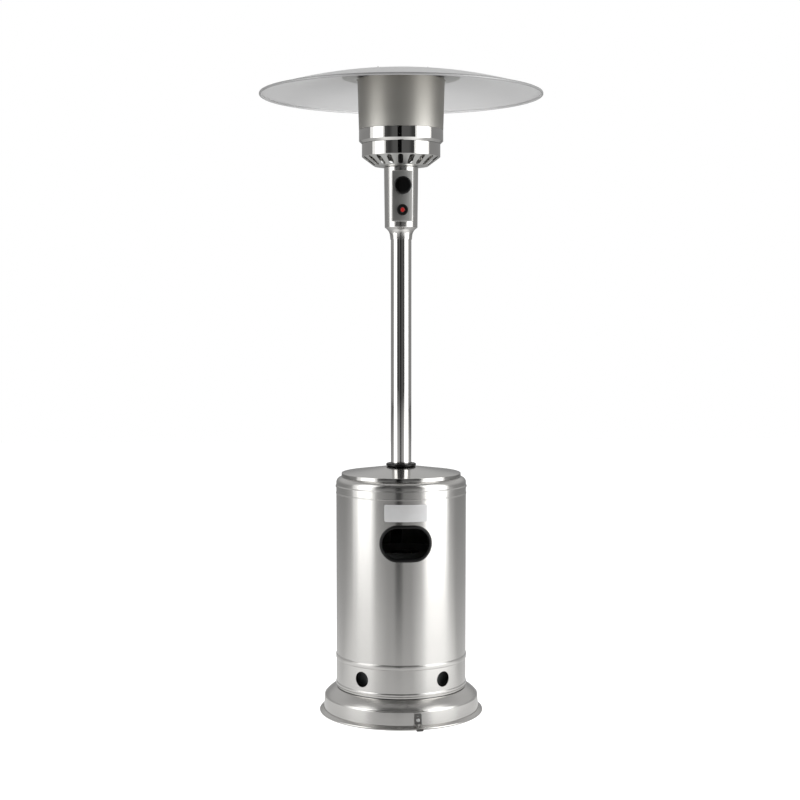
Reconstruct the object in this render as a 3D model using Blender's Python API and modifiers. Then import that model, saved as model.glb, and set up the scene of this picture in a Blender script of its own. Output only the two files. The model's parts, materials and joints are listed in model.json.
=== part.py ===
"""Freestanding gas patio heater: a steel stand and burner head, with a tank housing that lifts up the post.

Metres, +Z up. The origin is on the post's axis at floor level, and the front (hand hole and controls) is -Y.
"""

import math

import bmesh
import bpy
from mathutils import Vector

# Driving sizes. R is a radius, Z a height above the floor, and both are in metres.
GAP = 0.0003
SHEET = 0.0012
ROUND = 32
SMALL_ROUND = 20

BASE_FLANGE_R = 0.2375
BASE_FLANGE_H = 0.007
BASE_WALL_R = 0.2268
BASE_SHOULDER_R = 0.2205
BASE_SHOULDER_Z = 0.0450
BASE_TOP_Z = 0.0750

HOUSING_R = 0.1880
HOUSING_BOTTOM_Z = BASE_TOP_Z + GAP
HOUSING_TOP_Z = 0.6556
HOUSING_SHEET = 0.0010
BEAD_H = 0.0016
LOW_BEAD_Z = 0.0860
HIGH_BEAD_Z = 0.1640
VENT_R = 0.0220
VENT_Z = 0.1240
VENT_SPREAD = math.radians(37.75)
VENT_TURN = math.radians(-2.75)

HAND_HOLE_Z = 0.5145
HAND_HOLE_W = 0.156
HAND_HOLE_H = 0.107
HAND_HOLE_RIM = 0.009
LABEL_W = 0.122
LABEL_H = 0.048
LABEL_Z = 0.600

LID_RIM_R = 0.1725
LID_RIM_LOW_Z = 0.6846
LID_RIM_TOP_Z = 0.6955
LID_SLOPE = 0.138
LID_HOLE_R = 0.0385
COLLAR_R = 0.0435
COLLAR_LOW_Z = 0.7142
COLLAR_TOP_Z = 0.7230

POST_R = 0.0296
POST_WALL = 0.0015
POST_BOTTOM_Z = 0.5925
POST_TOP_Z = 1.3900

LEG_R = 0.1680
LEG_W = 0.028
LEG_T = 0.003
LEG_ANGLES = [math.radians(a) for a in (90, 210, 330)]
BRACKET_Z = 0.5880

BOTTLE_R = 0.1540
BOTTLE_WALL = 0.0022
NECK_R = 0.0160
VALVE_Z = 0.4200
HANDWHEEL_Z = 0.4560
REGULATOR_X = -0.0960
HOSE_R = 0.0060
HOSE_TOP_Z = 1.4000
LEAD_R = 0.0015

SLEEVE_LOW_R = 0.0470
SLEEVE_TOP_R = 0.0490
SLEEVE_SHOULDER_Z = 1.4015
SLEEVE_NECK_Z = 1.3670
SLEEVE_TOP_Z = 1.5714

PANEL_W = 0.061
PANEL_LOW_Z = 1.416
PANEL_TOP_Z = 1.560
PANEL_FRONT = 0.0515
KNOB_R = 0.0250
KNOB_Z = 1.5170
IGNITER_R = 0.0160
IGNITER_BUTTON_R = 0.0080
IGNITER_Z = 1.4486

BOWL_LOW_R = 0.0770
BOWL_LOW_Z = 1.5755
BOWL_TOP_R = 0.1120
BOWL_TOP_Z = 1.6017
SLOTS = 20
SLOT_TURN = math.radians(-5)
SLOT_W = 0.009
SLOT_L = 0.034
LOWER_COLLAR_R = 0.1123
LOWER_COLLAR_TOP_Z = 1.6386
UPPER_COLLAR_R = 0.1206
UPPER_COLLAR_LOW_Z = 1.6465
UPPER_COLLAR_TOP_Z = 1.6780
EMITTER_LOW_R = 0.1207
EMITTER_TOP_R = 0.1250
EMITTER_TOP_Z = 1.8180

SHIELD_R = 0.1685
SHIELD_Z = 1.8260
SHIELD_SHEET = 0.0010
REFLECTOR_R = 0.4050
REFLECTOR_RIM_Z = 1.7785
REFLECTOR_RISE = 0.0640
REFLECTOR_HEM_H = 0.0052
STUD_RING_R = 0.0880
STUD_R = 0.0030
STUD_LOW_Z = 1.8130
STUD_TOP_Z = 1.8478
STUD_HOLE_R = STUD_R + 0.0006

STEEL = ("stainless_steel", (0.62, 0.61, 0.59), 1.0, 0.30)
POLISHED = ("polished_steel", (0.75, 0.74, 0.72), 1.0, 0.08)
EMITTER_STEEL = ("heat_stained_steel", (0.30, 0.28, 0.25), 1.0, 0.45)
ALUMINIUM = ("reflector_aluminium", (0.78, 0.78, 0.77), 1.0, 0.40)
BLACK_PLASTIC = ("black_plastic", (0.015, 0.015, 0.015), 0.0, 0.45)
RED_PLASTIC = ("red_plastic", (0.35, 0.01, 0.01), 0.0, 0.35)
PAINTED = ("grey_paint", (0.55, 0.56, 0.56), 0.0, 0.45)
BLACK_PAINT = ("black_paint", (0.03, 0.03, 0.03), 0.0, 0.50)
BRASS = ("brass", (0.72, 0.53, 0.22), 1.0, 0.30)
CAST_IRON = ("cast_iron", (0.06, 0.06, 0.06), 1.0, 0.70)
RUBBER = ("black_rubber", (0.02, 0.02, 0.02), 0.0, 0.75)


# Scene and object helpers


def clear_scene():
    for obj in list(bpy.data.objects):
        bpy.data.objects.remove(obj, do_unlink=True)


def new_collection(name):
    collection = bpy.data.collections.new(name)
    bpy.context.scene.collection.children.link(collection)
    return collection


def material(spec):
    name, colour, metallic, roughness = spec
    found = bpy.data.materials.get(name)
    if found:
        return found
    made = bpy.data.materials.new(name)
    made.use_nodes = True
    shader = made.node_tree.nodes["Principled BSDF"]
    shader.inputs["Base Color"].default_value = (*colour, 1.0)
    shader.inputs["Metallic"].default_value = metallic
    shader.inputs["Roughness"].default_value = roughness
    return made


def add_empty(name, location=(0, 0, 0), parent=None):
    empty = bpy.data.objects.new(name, None)
    PARTS.objects.link(empty)
    empty.location = location
    empty.parent = parent
    return empty


def finish_object(name, mesh, spec, parent, location=(0, 0, 0), rotation=(0, 0, 0)):
    obj = bpy.data.objects.new(name, mesh)
    PARTS.objects.link(obj)
    obj.parent = parent
    obj.location = location
    obj.rotation_euler = rotation
    mesh.materials.append(material(spec))
    if mesh.polygons:
        mesh.shade_smooth()
        mesh.set_sharp_from_angle(angle=math.radians(35))
    return obj


def as_cutter(obj):
    PARTS.objects.unlink(obj)
    CUTTERS.objects.link(obj)
    obj.hide_render = True
    obj.display_type = "WIRE"
    return obj


def boolean(obj, tool, operation):
    modifier = obj.modifiers.new(operation.lower() + "_" + tool.name, "BOOLEAN")
    modifier.operation = operation
    modifier.object = as_cutter(tool)
    modifier.solver = "EXACT"


# Shape helpers. Each returns the new object.


def turned(name, profile, spec, parent, steps=ROUND, closed=False, **place):
    """A profile of (radius, height) turned about local Z. It runs down the outer side, top to bottom.
    A closed profile is a ring; an open one starts and ends on the axis."""
    mesh = bpy.data.meshes.new(name)
    points = [(r, 0.0, h) for r, h in profile]
    edges = [(i, i + 1) for i in range(len(points) - 1)]
    if closed:
        edges.append((len(points) - 1, 0))
    mesh.from_pydata(points, edges, [])
    obj = finish_object(name, mesh, spec, parent, **place)
    screw = obj.modifiers.new("turn", "SCREW")
    screw.axis = "Z"
    screw.angle = 2 * math.pi
    screw.steps = steps
    screw.render_steps = steps
    screw.use_merge_vertices = True
    screw.merge_threshold = 0.00001
    screw.use_smooth_shade = True
    return obj


def offset_line(line, distance):
    """The same open line moved sideways by distance, with mitred corners."""
    points = [Vector(p) for p in line]
    moved = []
    for i, point in enumerate(points):
        before = points[i] - points[i - 1] if i > 0 else points[1] - points[0]
        after = points[i + 1] - points[i] if i < len(points) - 1 else before
        normals = [Vector((d.y, -d.x)).normalized() for d in (before, after)]
        middle = (normals[0] + normals[1]).normalized()
        moved.append(tuple(point + middle * distance / middle.dot(normals[0])))
    return moved


def levelled(end, neighbour, height):
    """The end of an offset line slid along its last stretch to a height, so that a sheet's edge is cut level."""
    rise = end[1] - neighbour[1]
    if abs(rise) < 0.2 * math.dist(end, neighbour):
        return end
    share = (height - neighbour[1]) / rise
    return (neighbour[0] + share * (end[0] - neighbour[0]), height)


def sheet_ring(name, outer, spec, parent, thickness=SHEET, steps=ROUND):
    """Turned sheet metal: the outer line, top to bottom, and its inner face one thickness inside it."""
    inner = offset_line(outer, thickness)
    ends = levelled(inner[0], inner[1], outer[0][1]), levelled(inner[-1], inner[-2], outer[-1][1])
    inner[0], inner[-1] = ends
    return turned(name, outer + inner[::-1], spec, parent, steps, closed=True)


def cylinder(name, radius, low, high, spec, parent, steps=SMALL_ROUND, top_radius=None, **place):
    """A solid cylinder or cone along local Z, from low to high."""
    mesh = bpy.data.meshes.new(name)
    shape = bmesh.new()
    bmesh.ops.create_cone(
        shape,
        cap_ends=True,
        segments=steps,
        radius1=radius,
        radius2=radius if top_radius is None else top_radius,
        depth=high - low,
    )
    bmesh.ops.translate(shape, verts=shape.verts, vec=(0, 0, (high + low) / 2))
    shape.to_mesh(mesh)
    shape.free()
    return finish_object(name, mesh, spec, parent, **place)


def box(name, low, high, spec, parent, **place):
    """A box between two corners."""
    mesh = bpy.data.meshes.new(name)
    shape = bmesh.new()
    bmesh.ops.create_cube(shape, size=1.0)
    size = [h - l for l, h in zip(low, high)]
    bmesh.ops.scale(shape, verts=shape.verts, vec=size)
    bmesh.ops.translate(shape, verts=shape.verts, vec=[(l + h) / 2 for l, h in zip(low, high)])
    shape.to_mesh(mesh)
    shape.free()
    return finish_object(name, mesh, spec, parent, **place)


def strip(name, line, width, thickness, spec, parent, **place):
    """A flat bar bent along a line of (radial, height) points, lying in local XZ and centred on Y."""
    mesh = bpy.data.meshes.new(name)
    points = [(r, side * width / 2, h) for r, h in line for side in (-1, 1)]
    faces = [(2 * i, 2 * i + 2, 2 * i + 3, 2 * i + 1) for i in range(len(line) - 1)]
    mesh.from_pydata(points, [], faces)
    obj = finish_object(name, mesh, spec, parent, **place)
    solid = obj.modifiers.new("thickness", "SOLIDIFY")
    solid.thickness = thickness
    solid.offset = 0.0
    solid.use_even_offset = True
    return obj


def smooth_route(points, spacing):
    """Points about one spacing apart along a smooth (Catmull-Rom) curve through the given points."""
    knots = [Vector(p) for p in points]
    knots = [2 * knots[0] - knots[1]] + knots + [2 * knots[-1] - knots[-2]]
    route = []
    for a, b, c, d in zip(knots, knots[1:], knots[2:], knots[3:]):
        count = max(1, round((c - b).length / spacing))
        for i in range(count):
            t = i / count
            route.append(
                0.5 * (2 * b + (c - a) * t + (2 * a - 5 * b + 4 * c - d) * t**2 + (3 * b - a - 3 * c + d) * t**3)
            )
    return route + [knots[-2]]


def tube(name, route, radius, spec, parent):
    """A round tube with capped ends along a route."""
    curve = bpy.data.curves.new(name, "CURVE")
    curve.dimensions = "3D"
    curve.bevel_depth = radius
    curve.bevel_resolution = 2
    curve.use_fill_caps = True
    spline = curve.splines.new("POLY")
    spline.points.add(len(route) - 1)
    for point, place in zip(spline.points, route):
        point.co = (*place, 1.0)
    obj = bpy.data.objects.new(name, curve)
    PARTS.objects.link(obj)
    obj.parent = parent
    curve.materials.append(material(spec))
    return obj


def stadium(width, height, steps=6, straight=4):
    """The outline of a slot with round ends, as (across, up) points, anticlockwise from the right end's foot."""
    radius = height / 2
    reach = width / 2 - radius
    points = []
    for side, start in ((1, -math.pi / 2), (-1, math.pi / 2)):
        for i in range(steps + 1):
            angle = start + math.pi * i / steps
            points.append((side * reach + radius * math.cos(angle), radius * math.sin(angle)))
        for i in range(1, straight):
            points.append((side * reach * (1 - 2 * i / straight), side * radius))
    return points


def rectangle(width, height, steps=8):
    """A rectangle's outline with extra points along its long sides, in the same order as stadium()."""
    across = [width / 2 - width * i / steps for i in range(steps + 1)]
    return [(-x, -height / 2) for x in across] + [(x, height / 2) for x in across]


def wrapped(radius, across, up):
    """A flat (across, up) point laid round a cylinder of that radius, at the housing's front."""
    return (radius * math.sin(across / radius), -radius * math.cos(across / radius), up)


def loft(name, loops, spec, parent, closed=False, location=(0, 0, 0)):
    """A solid through loops of equally many points: capped at both ends, or a ring when closed."""
    mesh = bpy.data.meshes.new(name)
    shape = bmesh.new()
    rows = [[shape.verts.new(p) for p in loop] for loop in loops]
    pairs = list(zip(rows, rows[1:]))
    if closed:
        pairs.append((rows[-1], rows[0]))
    else:
        shape.faces.new(rows[0])
        shape.faces.new(rows[-1])
    for one, two in pairs:
        for i in range(len(one)):
            j = (i + 1) % len(one)
            shape.faces.new((one[i], one[j], two[j], two[i]))
    bmesh.ops.recalc_face_normals(shape, faces=shape.faces)
    shape.to_mesh(mesh)
    shape.free()
    return finish_object(name, mesh, spec, parent, location)


def polar(radius, angle, height=0.0):
    return (radius * math.cos(angle), radius * math.sin(angle), height)


def drill(obj, name, radius, low, high, steps=8, **place):
    boolean(obj, cylinder(name, radius, low, high, STEEL, None, steps, **place), "DIFFERENCE")


def hex_bolt(name, shank_r, shank_low, head_low, head_height, head_r, parent, **place):
    """A hexagon-headed bolt along local Z with its head uppermost."""
    bolt = cylinder(name, head_r, head_low, head_low + head_height, STEEL, parent, steps=6, **place)
    shank = cylinder(name + "_shank", shank_r, shank_low, head_low + GAP, STEEL, parent, steps=8, **place)
    boolean(bolt, shank, "UNION")


# Base


def base_cover_line():
    """The cover's outer face, from the ledge under the housing down to the flange's rolled edge."""
    ledge_r = HOUSING_R - 0.0080
    top_r = HOUSING_R + 0.0020
    line = [(ledge_r - 0.0030, BASE_TOP_Z - 0.0080), (ledge_r - 0.0020, BASE_TOP_Z - 0.0012)]
    line += [(ledge_r, BASE_TOP_Z), (top_r, BASE_TOP_Z)]
    for share in (0.35, 0.75):
        bulge = 0.0020 * math.sin(math.pi * share)
        height = BASE_TOP_Z + share * (BASE_SHOULDER_Z - BASE_TOP_Z) + bulge
        line.append((top_r + share * (BASE_SHOULDER_R - top_r), height))
    line += [(BASE_SHOULDER_R, BASE_SHOULDER_Z), (BASE_SHOULDER_R + 0.0012, BASE_SHOULDER_Z - 0.0030)]
    line += [(BASE_WALL_R, BASE_FLANGE_H), (BASE_FLANGE_R - 0.0025, BASE_FLANGE_H)]
    line += [(BASE_FLANGE_R, BASE_FLANGE_H - 0.0025), (BASE_FLANGE_R, 0.0018), (BASE_FLANGE_R - 0.0018, 0.0)]
    return line


def make_base(stand):
    outer = base_cover_line()
    under = [(BASE_FLANGE_R - 0.0060, 0.0), (BASE_FLANGE_R - 0.0060, SHEET)]
    inner = offset_line(outer, SHEET)[:-3]
    inner[-1] = (BASE_FLANGE_R - 0.0040, BASE_FLANGE_H - SHEET)
    under.append((BASE_FLANGE_R - 0.0040, SHEET))
    turned("base_cover", outer + under + inner[::-1], STEEL, stand, closed=True)

    floor_low, floor_high, wall_r = 0.0030, 0.0055, 0.2140
    pan = [(wall_r, 0.0400), (wall_r, floor_low), (0.0, floor_low)]
    pan = [(0.0, floor_high), (wall_r - 0.0025, floor_high), (wall_r - 0.0025, 0.0400)] + pan
    pan_obj = turned("base_pan", pan, BLACK_PAINT, stand)
    weight_low = floor_high + GAP
    weight = [(0.2070, weight_low + 0.015), (0.2070, weight_low), (0.1740, weight_low), (0.1740, weight_low + 0.015)]
    turned("base_weight", weight, CAST_IRON, stand, closed=True)
    return pan_obj


def make_rim_clip(stand, cover):
    """The bent strap that clips the cover's flange, held by a slotted screw."""
    angle = math.radians(-90 + 7.6)
    width, thickness = 0.021, 0.0016
    stand_off = thickness / 2 + 0.0007
    line = [
        (BASE_SHOULDER_R + 0.0014 + stand_off, BASE_SHOULDER_Z - 0.0010),
        (BASE_WALL_R + stand_off, BASE_FLANGE_H + stand_off + 0.001),
        (BASE_FLANGE_R + 0.0040, BASE_FLANGE_H + stand_off),
        (BASE_FLANGE_R + 0.0100, BASE_FLANGE_H - 0.0010),
        (BASE_FLANGE_R + 0.0105, 0.0012),
    ]
    turn = (0, 0, angle)
    clip = strip("rim_clip", line, width, thickness, STEEL, stand, rotation=turn)
    screw_z = 0.0265
    screw_turn = (0, math.pi / 2, angle)
    wall_r = (BASE_SHOULDER_R + BASE_WALL_R) / 2
    place = {"location": (0, 0, screw_z), "rotation": screw_turn}
    for obj in (clip, cover):
        drill(obj, "clip_hole_" + obj.name, 0.0024, wall_r - 0.012, wall_r + 0.010, **place)
    head_low = wall_r + 2 * stand_off + 0.0014
    screw = cylinder("rim_clip_screw", 0.0050, head_low, head_low + 0.0022, STEEL, stand, 16, **place)
    shank = cylinder("clip_screw_shank", 0.0020, wall_r - 0.008, head_low + GAP, STEEL, stand, 8, **place)
    boolean(screw, shank, "UNION")
    slot_low, slot_high = (-0.0006, -0.0060, head_low + 0.0012), (0.0006, 0.0060, head_low + 0.0040)
    boolean(screw, box("clip_screw_slot", slot_low, slot_high, STEEL, stand, **place), "DIFFERENCE")


# Stand inside the housing, and the post


def make_legs(stand, pan):
    """Three flat bars that rise round the bottle and carry the post's bracket."""
    foot_z = 0.0055 + GAP + LEG_T / 2
    top_z = BRACKET_Z - GAP - LEG_T / 2
    line = [
        (0.1280, foot_z),
        (LEG_R - 0.0040, foot_z),
        (LEG_R, foot_z + 0.0050),
        (LEG_R, 0.4900),
        (LEG_R - 0.0080, 0.5100),
        (0.0700, top_z - 0.0060),
        (0.0600, top_z),
        (0.0340, top_z),
    ]
    for number, angle in enumerate(LEG_ANGLES, 1):
        leg = strip(f"support_leg_{number}", line, LEG_W, LEG_T, BLACK_PAINT, stand, rotation=(0, 0, angle))
        place = {"location": polar(0.1430, angle)}
        for obj in (leg, pan):
            drill(obj, f"foot_hole_{number}_{obj.name}", 0.0036, 0.0, 0.020, **place)
        head_low = foot_z + LEG_T / 2 + GAP
        hex_bolt(f"foot_bolt_{number}", 0.0030, 0.0010, head_low, 0.0050, 0.0070, stand, **place)


def make_post(stand):
    """The post, the bracket it stands in and the bolts that hold it."""
    socket_inner = POST_R + GAP
    socket_outer = socket_inner + 0.0028
    bracket = [
        (socket_outer, 0.6450),
        (socket_outer, BRACKET_Z + 0.004),
        (0.0640, BRACKET_Z + 0.004),
        (0.0640, BRACKET_Z),
        (0.0180, BRACKET_Z),
        (0.0180, BRACKET_Z + 0.0042),
        (socket_inner, BRACKET_Z + 0.0042),
        (socket_inner, 0.6450),
    ]
    bracket_obj = turned("post_bracket", bracket, BLACK_PAINT, stand, SMALL_ROUND, closed=True)
    inner = POST_R - POST_WALL
    wall = [(POST_R, POST_TOP_Z), (POST_R, POST_BOTTOM_Z), (inner, POST_BOTTOM_Z), (inner, POST_TOP_Z)]
    post = turned("post", wall, POLISHED, stand, SMALL_ROUND, closed=True)
    for number, angle in enumerate(LEG_ANGLES, 1):
        turn = (0, math.pi / 2, angle + math.pi / 3)
        place = {"location": (0, 0, 0.6200), "rotation": turn}
        for obj in (bracket_obj, post):
            drill(obj, f"post_hole_{number}_{obj.name}", 0.0030, 0.0200, 0.0400, **place)
        head_low = socket_outer + GAP
        hex_bolt(f"post_bolt_{number}", 0.0025, 0.0240, head_low, 0.0040, 0.0055, stand, **place)


# Gas bottle and what leads the gas up the post


def arc(centre, radius, start, end, count):
    """Points on an arc in degrees, as (radius, height) pairs."""
    angles = [math.radians(start + (end - start) * i / (count - 1)) for i in range(count)]
    return [(centre[0] + radius * math.cos(a), centre[1] + radius * math.sin(a)) for a in angles]


def make_bottle(stand):
    foot_z = 0.0055 + GAP
    round_r = 0.070
    low_centre, high_centre = (BOTTLE_R - round_r, 0.100), (BOTTLE_R - round_r, 0.296)
    outer = [(NECK_R + 0.004, 0.386), (NECK_R + 0.004, 0.3755)]
    outer += arc(high_centre, round_r, 72, 0, 3) + arc(low_centre, round_r, 0, -40, 2)
    outer += [(0.1080, 0.0400), (0.1060, foot_z)]
    inner = [(0.1030, foot_z), (0.1010, 0.0400), (0.0, 0.0330)]
    inside = [(0.0, 0.0355)]
    inside += arc(low_centre, round_r - BOTTLE_WALL, -40, 0, 2)
    inside += arc(high_centre, round_r - BOTTLE_WALL, 0, 72, 3)
    inside += [(NECK_R, 0.3735), (NECK_R, 0.386)]
    turned("gas_bottle", inside + outer + inner, PAINTED, stand, SMALL_ROUND)

    guard_r, guard_low, guard_high = 0.1000, 0.3720, 0.4740
    wall = [(guard_r, guard_high), (guard_r, guard_low), (guard_r - 0.0025, guard_low)]
    wall.append((guard_r - 0.0025, guard_high))
    guard = turned("bottle_guard", wall, PAINTED, stand, SMALL_ROUND, closed=True)
    mouth = box("guard_mouth", (-0.14, -0.062, 0.35), (-0.05, 0.062, 0.50), STEEL, stand)
    boolean(guard, mouth, "DIFFERENCE")
    for side in (-1, 1):
        low, high = (0.0, side * 0.085 - 0.03, 0.4280), (0.060, side * 0.085 + 0.03, 0.4560)
        boolean(guard, box(f"guard_grip_{side}", low, high, STEEL, stand), "DIFFERENCE")


def make_bottle_valve(stand):
    """The bottle's brass valve, with its outlet towards -X, and the handwheel on its spindle."""
    body = cylinder("bottle_valve", NECK_R - GAP, 0.3650, 0.4480, BRASS, stand)
    outlet_turn = {"location": (0, 0, VALVE_Z), "rotation": (0, -math.pi / 2, 0)}
    boolean(body, cylinder("valve_outlet", 0.0130, 0.0, 0.0440, BRASS, stand, **outlet_turn), "UNION")
    drill(body, "spindle_bore", 0.0045, 0.4300, 0.4600)

    axis = add_empty("handwheel_axis", (0, 0, HANDWHEEL_Z), stand)
    rim = [(0.0290, 0.0120), (0.0310, 0.0060), (0.0290, -0.0020), (0.0200, -0.0060), (0.0, -0.0060)]
    wheel = turned("bottle_handwheel", [(0.0, 0.0080), (0.0200, 0.0120)] + rim, BLACK_PLASTIC, axis, SMALL_ROUND)
    boolean(wheel, cylinder("wheel_spindle", 0.0038, -0.0200, 0.0, BRASS, axis, 12), "UNION")
    for number in range(8):
        place = {"location": polar(0.0350, math.pi * number / 4)}
        drill(wheel, f"wheel_grip_{number}", 0.0070, -0.0200, 0.0200, 8, **place)

    nut = [(0.0230, 0.0640), (0.0250, 0.0600), (0.0250, 0.0350), (0.0230, 0.0310)]
    nut += [(0.0130 + GAP, 0.0310), (0.0130 + GAP, 0.0450), (0.0108, 0.0450), (0.0108, 0.0640)]
    turned("regulator_nut", nut, BLACK_PLASTIC, stand, SMALL_ROUND, closed=True, **outlet_turn)


def make_regulator(stand):
    """The pressure regulator: a bolted disc with an inlet stub into the nut and an outlet stub towards +Y."""
    x = REGULATOR_X
    case = [(0.0, 0.0200), (0.0160, 0.0180), (0.0260, 0.0100), (0.0300, 0.0040), (0.0300, -0.0040)]
    case += [(0.0240, -0.0120), (0.0120, -0.0160), (0.0, -0.0160)]
    regulator = turned("regulator", case, PAINTED, stand, SMALL_ROUND, location=(x, 0, VALVE_Z))
    inlet = {"location": (x, 0, VALVE_Z), "rotation": (0, math.pi / 2, 0)}
    boolean(regulator, cylinder("regulator_inlet", 0.0100, 0.0, -x - 0.0460, BRASS, stand, **inlet), "UNION")
    outlet = {"location": (x, 0, VALVE_Z), "rotation": (-math.pi / 2, 0, 0)}
    boolean(regulator, cylinder("regulator_outlet", 0.0065, 0.0, 0.0420, BRASS, stand, 12, **outlet), "UNION")


def make_hose(stand):
    """The gas hose, from the regulator's outlet into the foot of the post and up it to the gas valve."""
    bend = [
        (REGULATOR_X, 0.0425, VALVE_Z),
        (REGULATOR_X, 0.0520, VALVE_Z),
        (REGULATOR_X, 0.0680, VALVE_Z + 0.003),
        (-0.0950, 0.0840, 0.4360),
        (-0.0880, 0.0900, 0.4680),
        (-0.0680, 0.0700, 0.5010),
        (-0.0400, 0.0410, 0.5250),
        (-0.0160, 0.0160, 0.5480),
        (-0.0030, 0.0030, 0.5780),
        (0.0, 0.0, 0.6200),
    ]
    up_the_post = [Vector((0, 0, z)) for z in (0.8000, 1.0000, 1.2000, HOSE_TOP_Z)]
    tube("gas_hose", smooth_route(bend, 0.022) + up_the_post, HOSE_R, RUBBER, stand)


# Control head


def sleeve_line():
    return [
        (SLEEVE_TOP_R, SLEEVE_TOP_Z),
        (SLEEVE_LOW_R, SLEEVE_SHOULDER_Z),
        (0.0380, 1.3930),
        (0.0336, 1.3850),
        (0.0318, 1.3760),
        (POST_R + GAP + 0.0010, SLEEVE_NECK_Z),
    ]


def make_sleeve(stand):
    sleeve = sheet_ring("control_sleeve", sleeve_line(), POLISHED, stand, 0.0010, 32)
    window = box("sleeve_window", (-0.022, -0.060, 1.424), (0.022, -0.020, 1.552), STEEL, stand)
    boolean(sleeve, window, "DIFFERENCE")

    half = PANEL_W / 2
    low, high = (-half, -PANEL_FRONT, PANEL_LOW_Z), (half, -0.0300, PANEL_TOP_Z)
    panel = box("control_panel", low, high, STEEL, stand)
    rounding = panel.modifiers.new("fold_radius", "BEVEL")
    rounding.width = 0.0020
    rounding.segments = 2
    inside_low = (-half + SHEET, -PANEL_FRONT + SHEET, PANEL_LOW_Z + SHEET)
    inside_high = (half - SHEET, 0.0, PANEL_TOP_Z - SHEET)
    boolean(panel, box("panel_inside", inside_low, inside_high, STEEL, stand), "DIFFERENCE")
    behind = cylinder("panel_seat", SLEEVE_LOW_R + 0.0007, SLEEVE_SHOULDER_Z, SLEEVE_TOP_Z, STEEL, stand, 32,
                      top_radius=SLEEVE_TOP_R + 0.0007)
    boolean(panel, behind, "DIFFERENCE")
    front = {"rotation": (math.pi / 2, 0, 0)}
    drill(panel, "spindle_hole", 0.0056, 0.040, 0.060, location=(0, 0, KNOB_Z), **front)
    drill(panel, "igniter_hole", 0.0087, 0.040, 0.060, 24, location=(0, 0, IGNITER_Z), **front)


def make_gas_valve(stand):
    """The gas valve behind the panel, its spindle, and the knob that slides and turns on it."""
    valve = box("gas_valve", (-0.0150, -0.0320, 1.4950), (0.0150, 0.0120, 1.5400), ALUMINIUM, stand)
    boolean(valve, cylinder("valve_inlet", 0.0080, 1.4004, 1.5000, BRASS, stand, 12), "UNION")
    boolean(valve, cylinder("valve_riser", 0.0050, 1.5350, 1.5650, BRASS, stand, 12), "UNION")
    injector = [(0.0, 1.5800), (0.0030, 1.5800), (0.0065, 1.5740), (0.0065, 1.5653), (0.0, 1.5653)]
    turned("injector", injector, BRASS, stand, 12)
    front = {"rotation": (math.pi / 2, 0, 0)}
    drill(valve, "valve_bore", 0.0043, 0.0200, 0.0400, 24, location=(0, 0, KNOB_Z), **front)

    spindle_axis = add_empty("knob_turn_axis", (0, 0, KNOB_Z), stand)
    cylinder("valve_spindle", 0.0040, 0.0230, 0.0665, BRASS, spindle_axis, **front)
    knob_axis = add_empty("knob_push_axis", (0, 0, 0), spindle_axis)
    back, face = PANEL_FRONT + 0.0050, PANEL_FRONT + 0.0235
    knob = [
        (0.0, face),
        (KNOB_R - 0.0090, face - 0.0008),
        (KNOB_R - 0.0030, face - 0.0030),
        (KNOB_R - 0.0008, face - 0.0060),
        (KNOB_R, back + 0.0030),
        (KNOB_R - 0.0010, back),
        (0.0043, back),
        (0.0043, 0.0710),
        (0.0, 0.0710),
    ]
    turned("control_knob", knob, BLACK_PLASTIC, knob_axis, SMALL_ROUND, **front)


def make_igniter(stand):
    """The push-button igniter: body behind the panel, black ring in front of it, red button, lead and pilot."""
    front = {"location": (0, 0, IGNITER_Z), "rotation": (math.pi / 2, 0, 0)}
    bore = IGNITER_BUTTON_R + GAP
    body_front = PANEL_FRONT - SHEET - GAP
    body = [(0.0105, body_front), (0.0105, 0.0120), (0.0, 0.0120)]
    body = [(0.0, 0.0160), (bore, 0.0160), (bore, body_front)] + body
    turned("igniter_body", body, BLACK_PLASTIC, stand, SMALL_ROUND, **front)
    ring_low = PANEL_FRONT + GAP
    ring = [(IGNITER_R - 0.0040, ring_low + 0.0062), (IGNITER_R - 0.0008, ring_low + 0.0046)]
    ring += [(IGNITER_R, ring_low), (bore, ring_low), (bore, ring_low + 0.0056)]
    turned("igniter_bezel", ring, BLACK_PLASTIC, stand, SMALL_ROUND, closed=True, **front)
    axis = add_empty("igniter_push_axis", (0, 0, IGNITER_Z), stand)
    face = ring_low + 0.0084
    button = [(0.0, face), (0.0060, face - 0.0004), (IGNITER_BUTTON_R, face - 0.0022)]
    button += [(IGNITER_BUTTON_R, 0.0240), (0.0, 0.0240)]
    turned("igniter_button", button, RED_PLASTIC, axis, SMALL_ROUND, rotation=front["rotation"])
    lead = [
        (0.0075, -0.0115, IGNITER_Z),
        (0.0080, -0.0080, IGNITER_Z),
        (0.0150, 0.0000, IGNITER_Z + 0.010),
        (0.0250, 0.0080, IGNITER_Z + 0.030),
        (0.0270, 0.0180, IGNITER_Z + 0.070),
        (0.0220, 0.0100, IGNITER_Z + 0.105),
        (0.0220, 0.0000, IGNITER_Z + 0.135),
        (0.0480, -0.0200, IGNITER_Z + 0.155),
        (0.0813, -0.0337, IGNITER_Z + 0.176),
    ]
    tube("igniter_lead", smooth_route(lead, 0.010), LEAD_R, RUBBER, stand)
    pilot = [(0.0, 0.0330), (0.0040, 0.0330), (0.0040, 0.0060), (0.0075, 0.0060), (0.0075, 0.0), (0.0, 0.0)]
    turned("pilot_burner", pilot, BRASS, stand, 12, location=(0.0880, 0.0, 1.6300 + GAP))


# Burner and emitter


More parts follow.
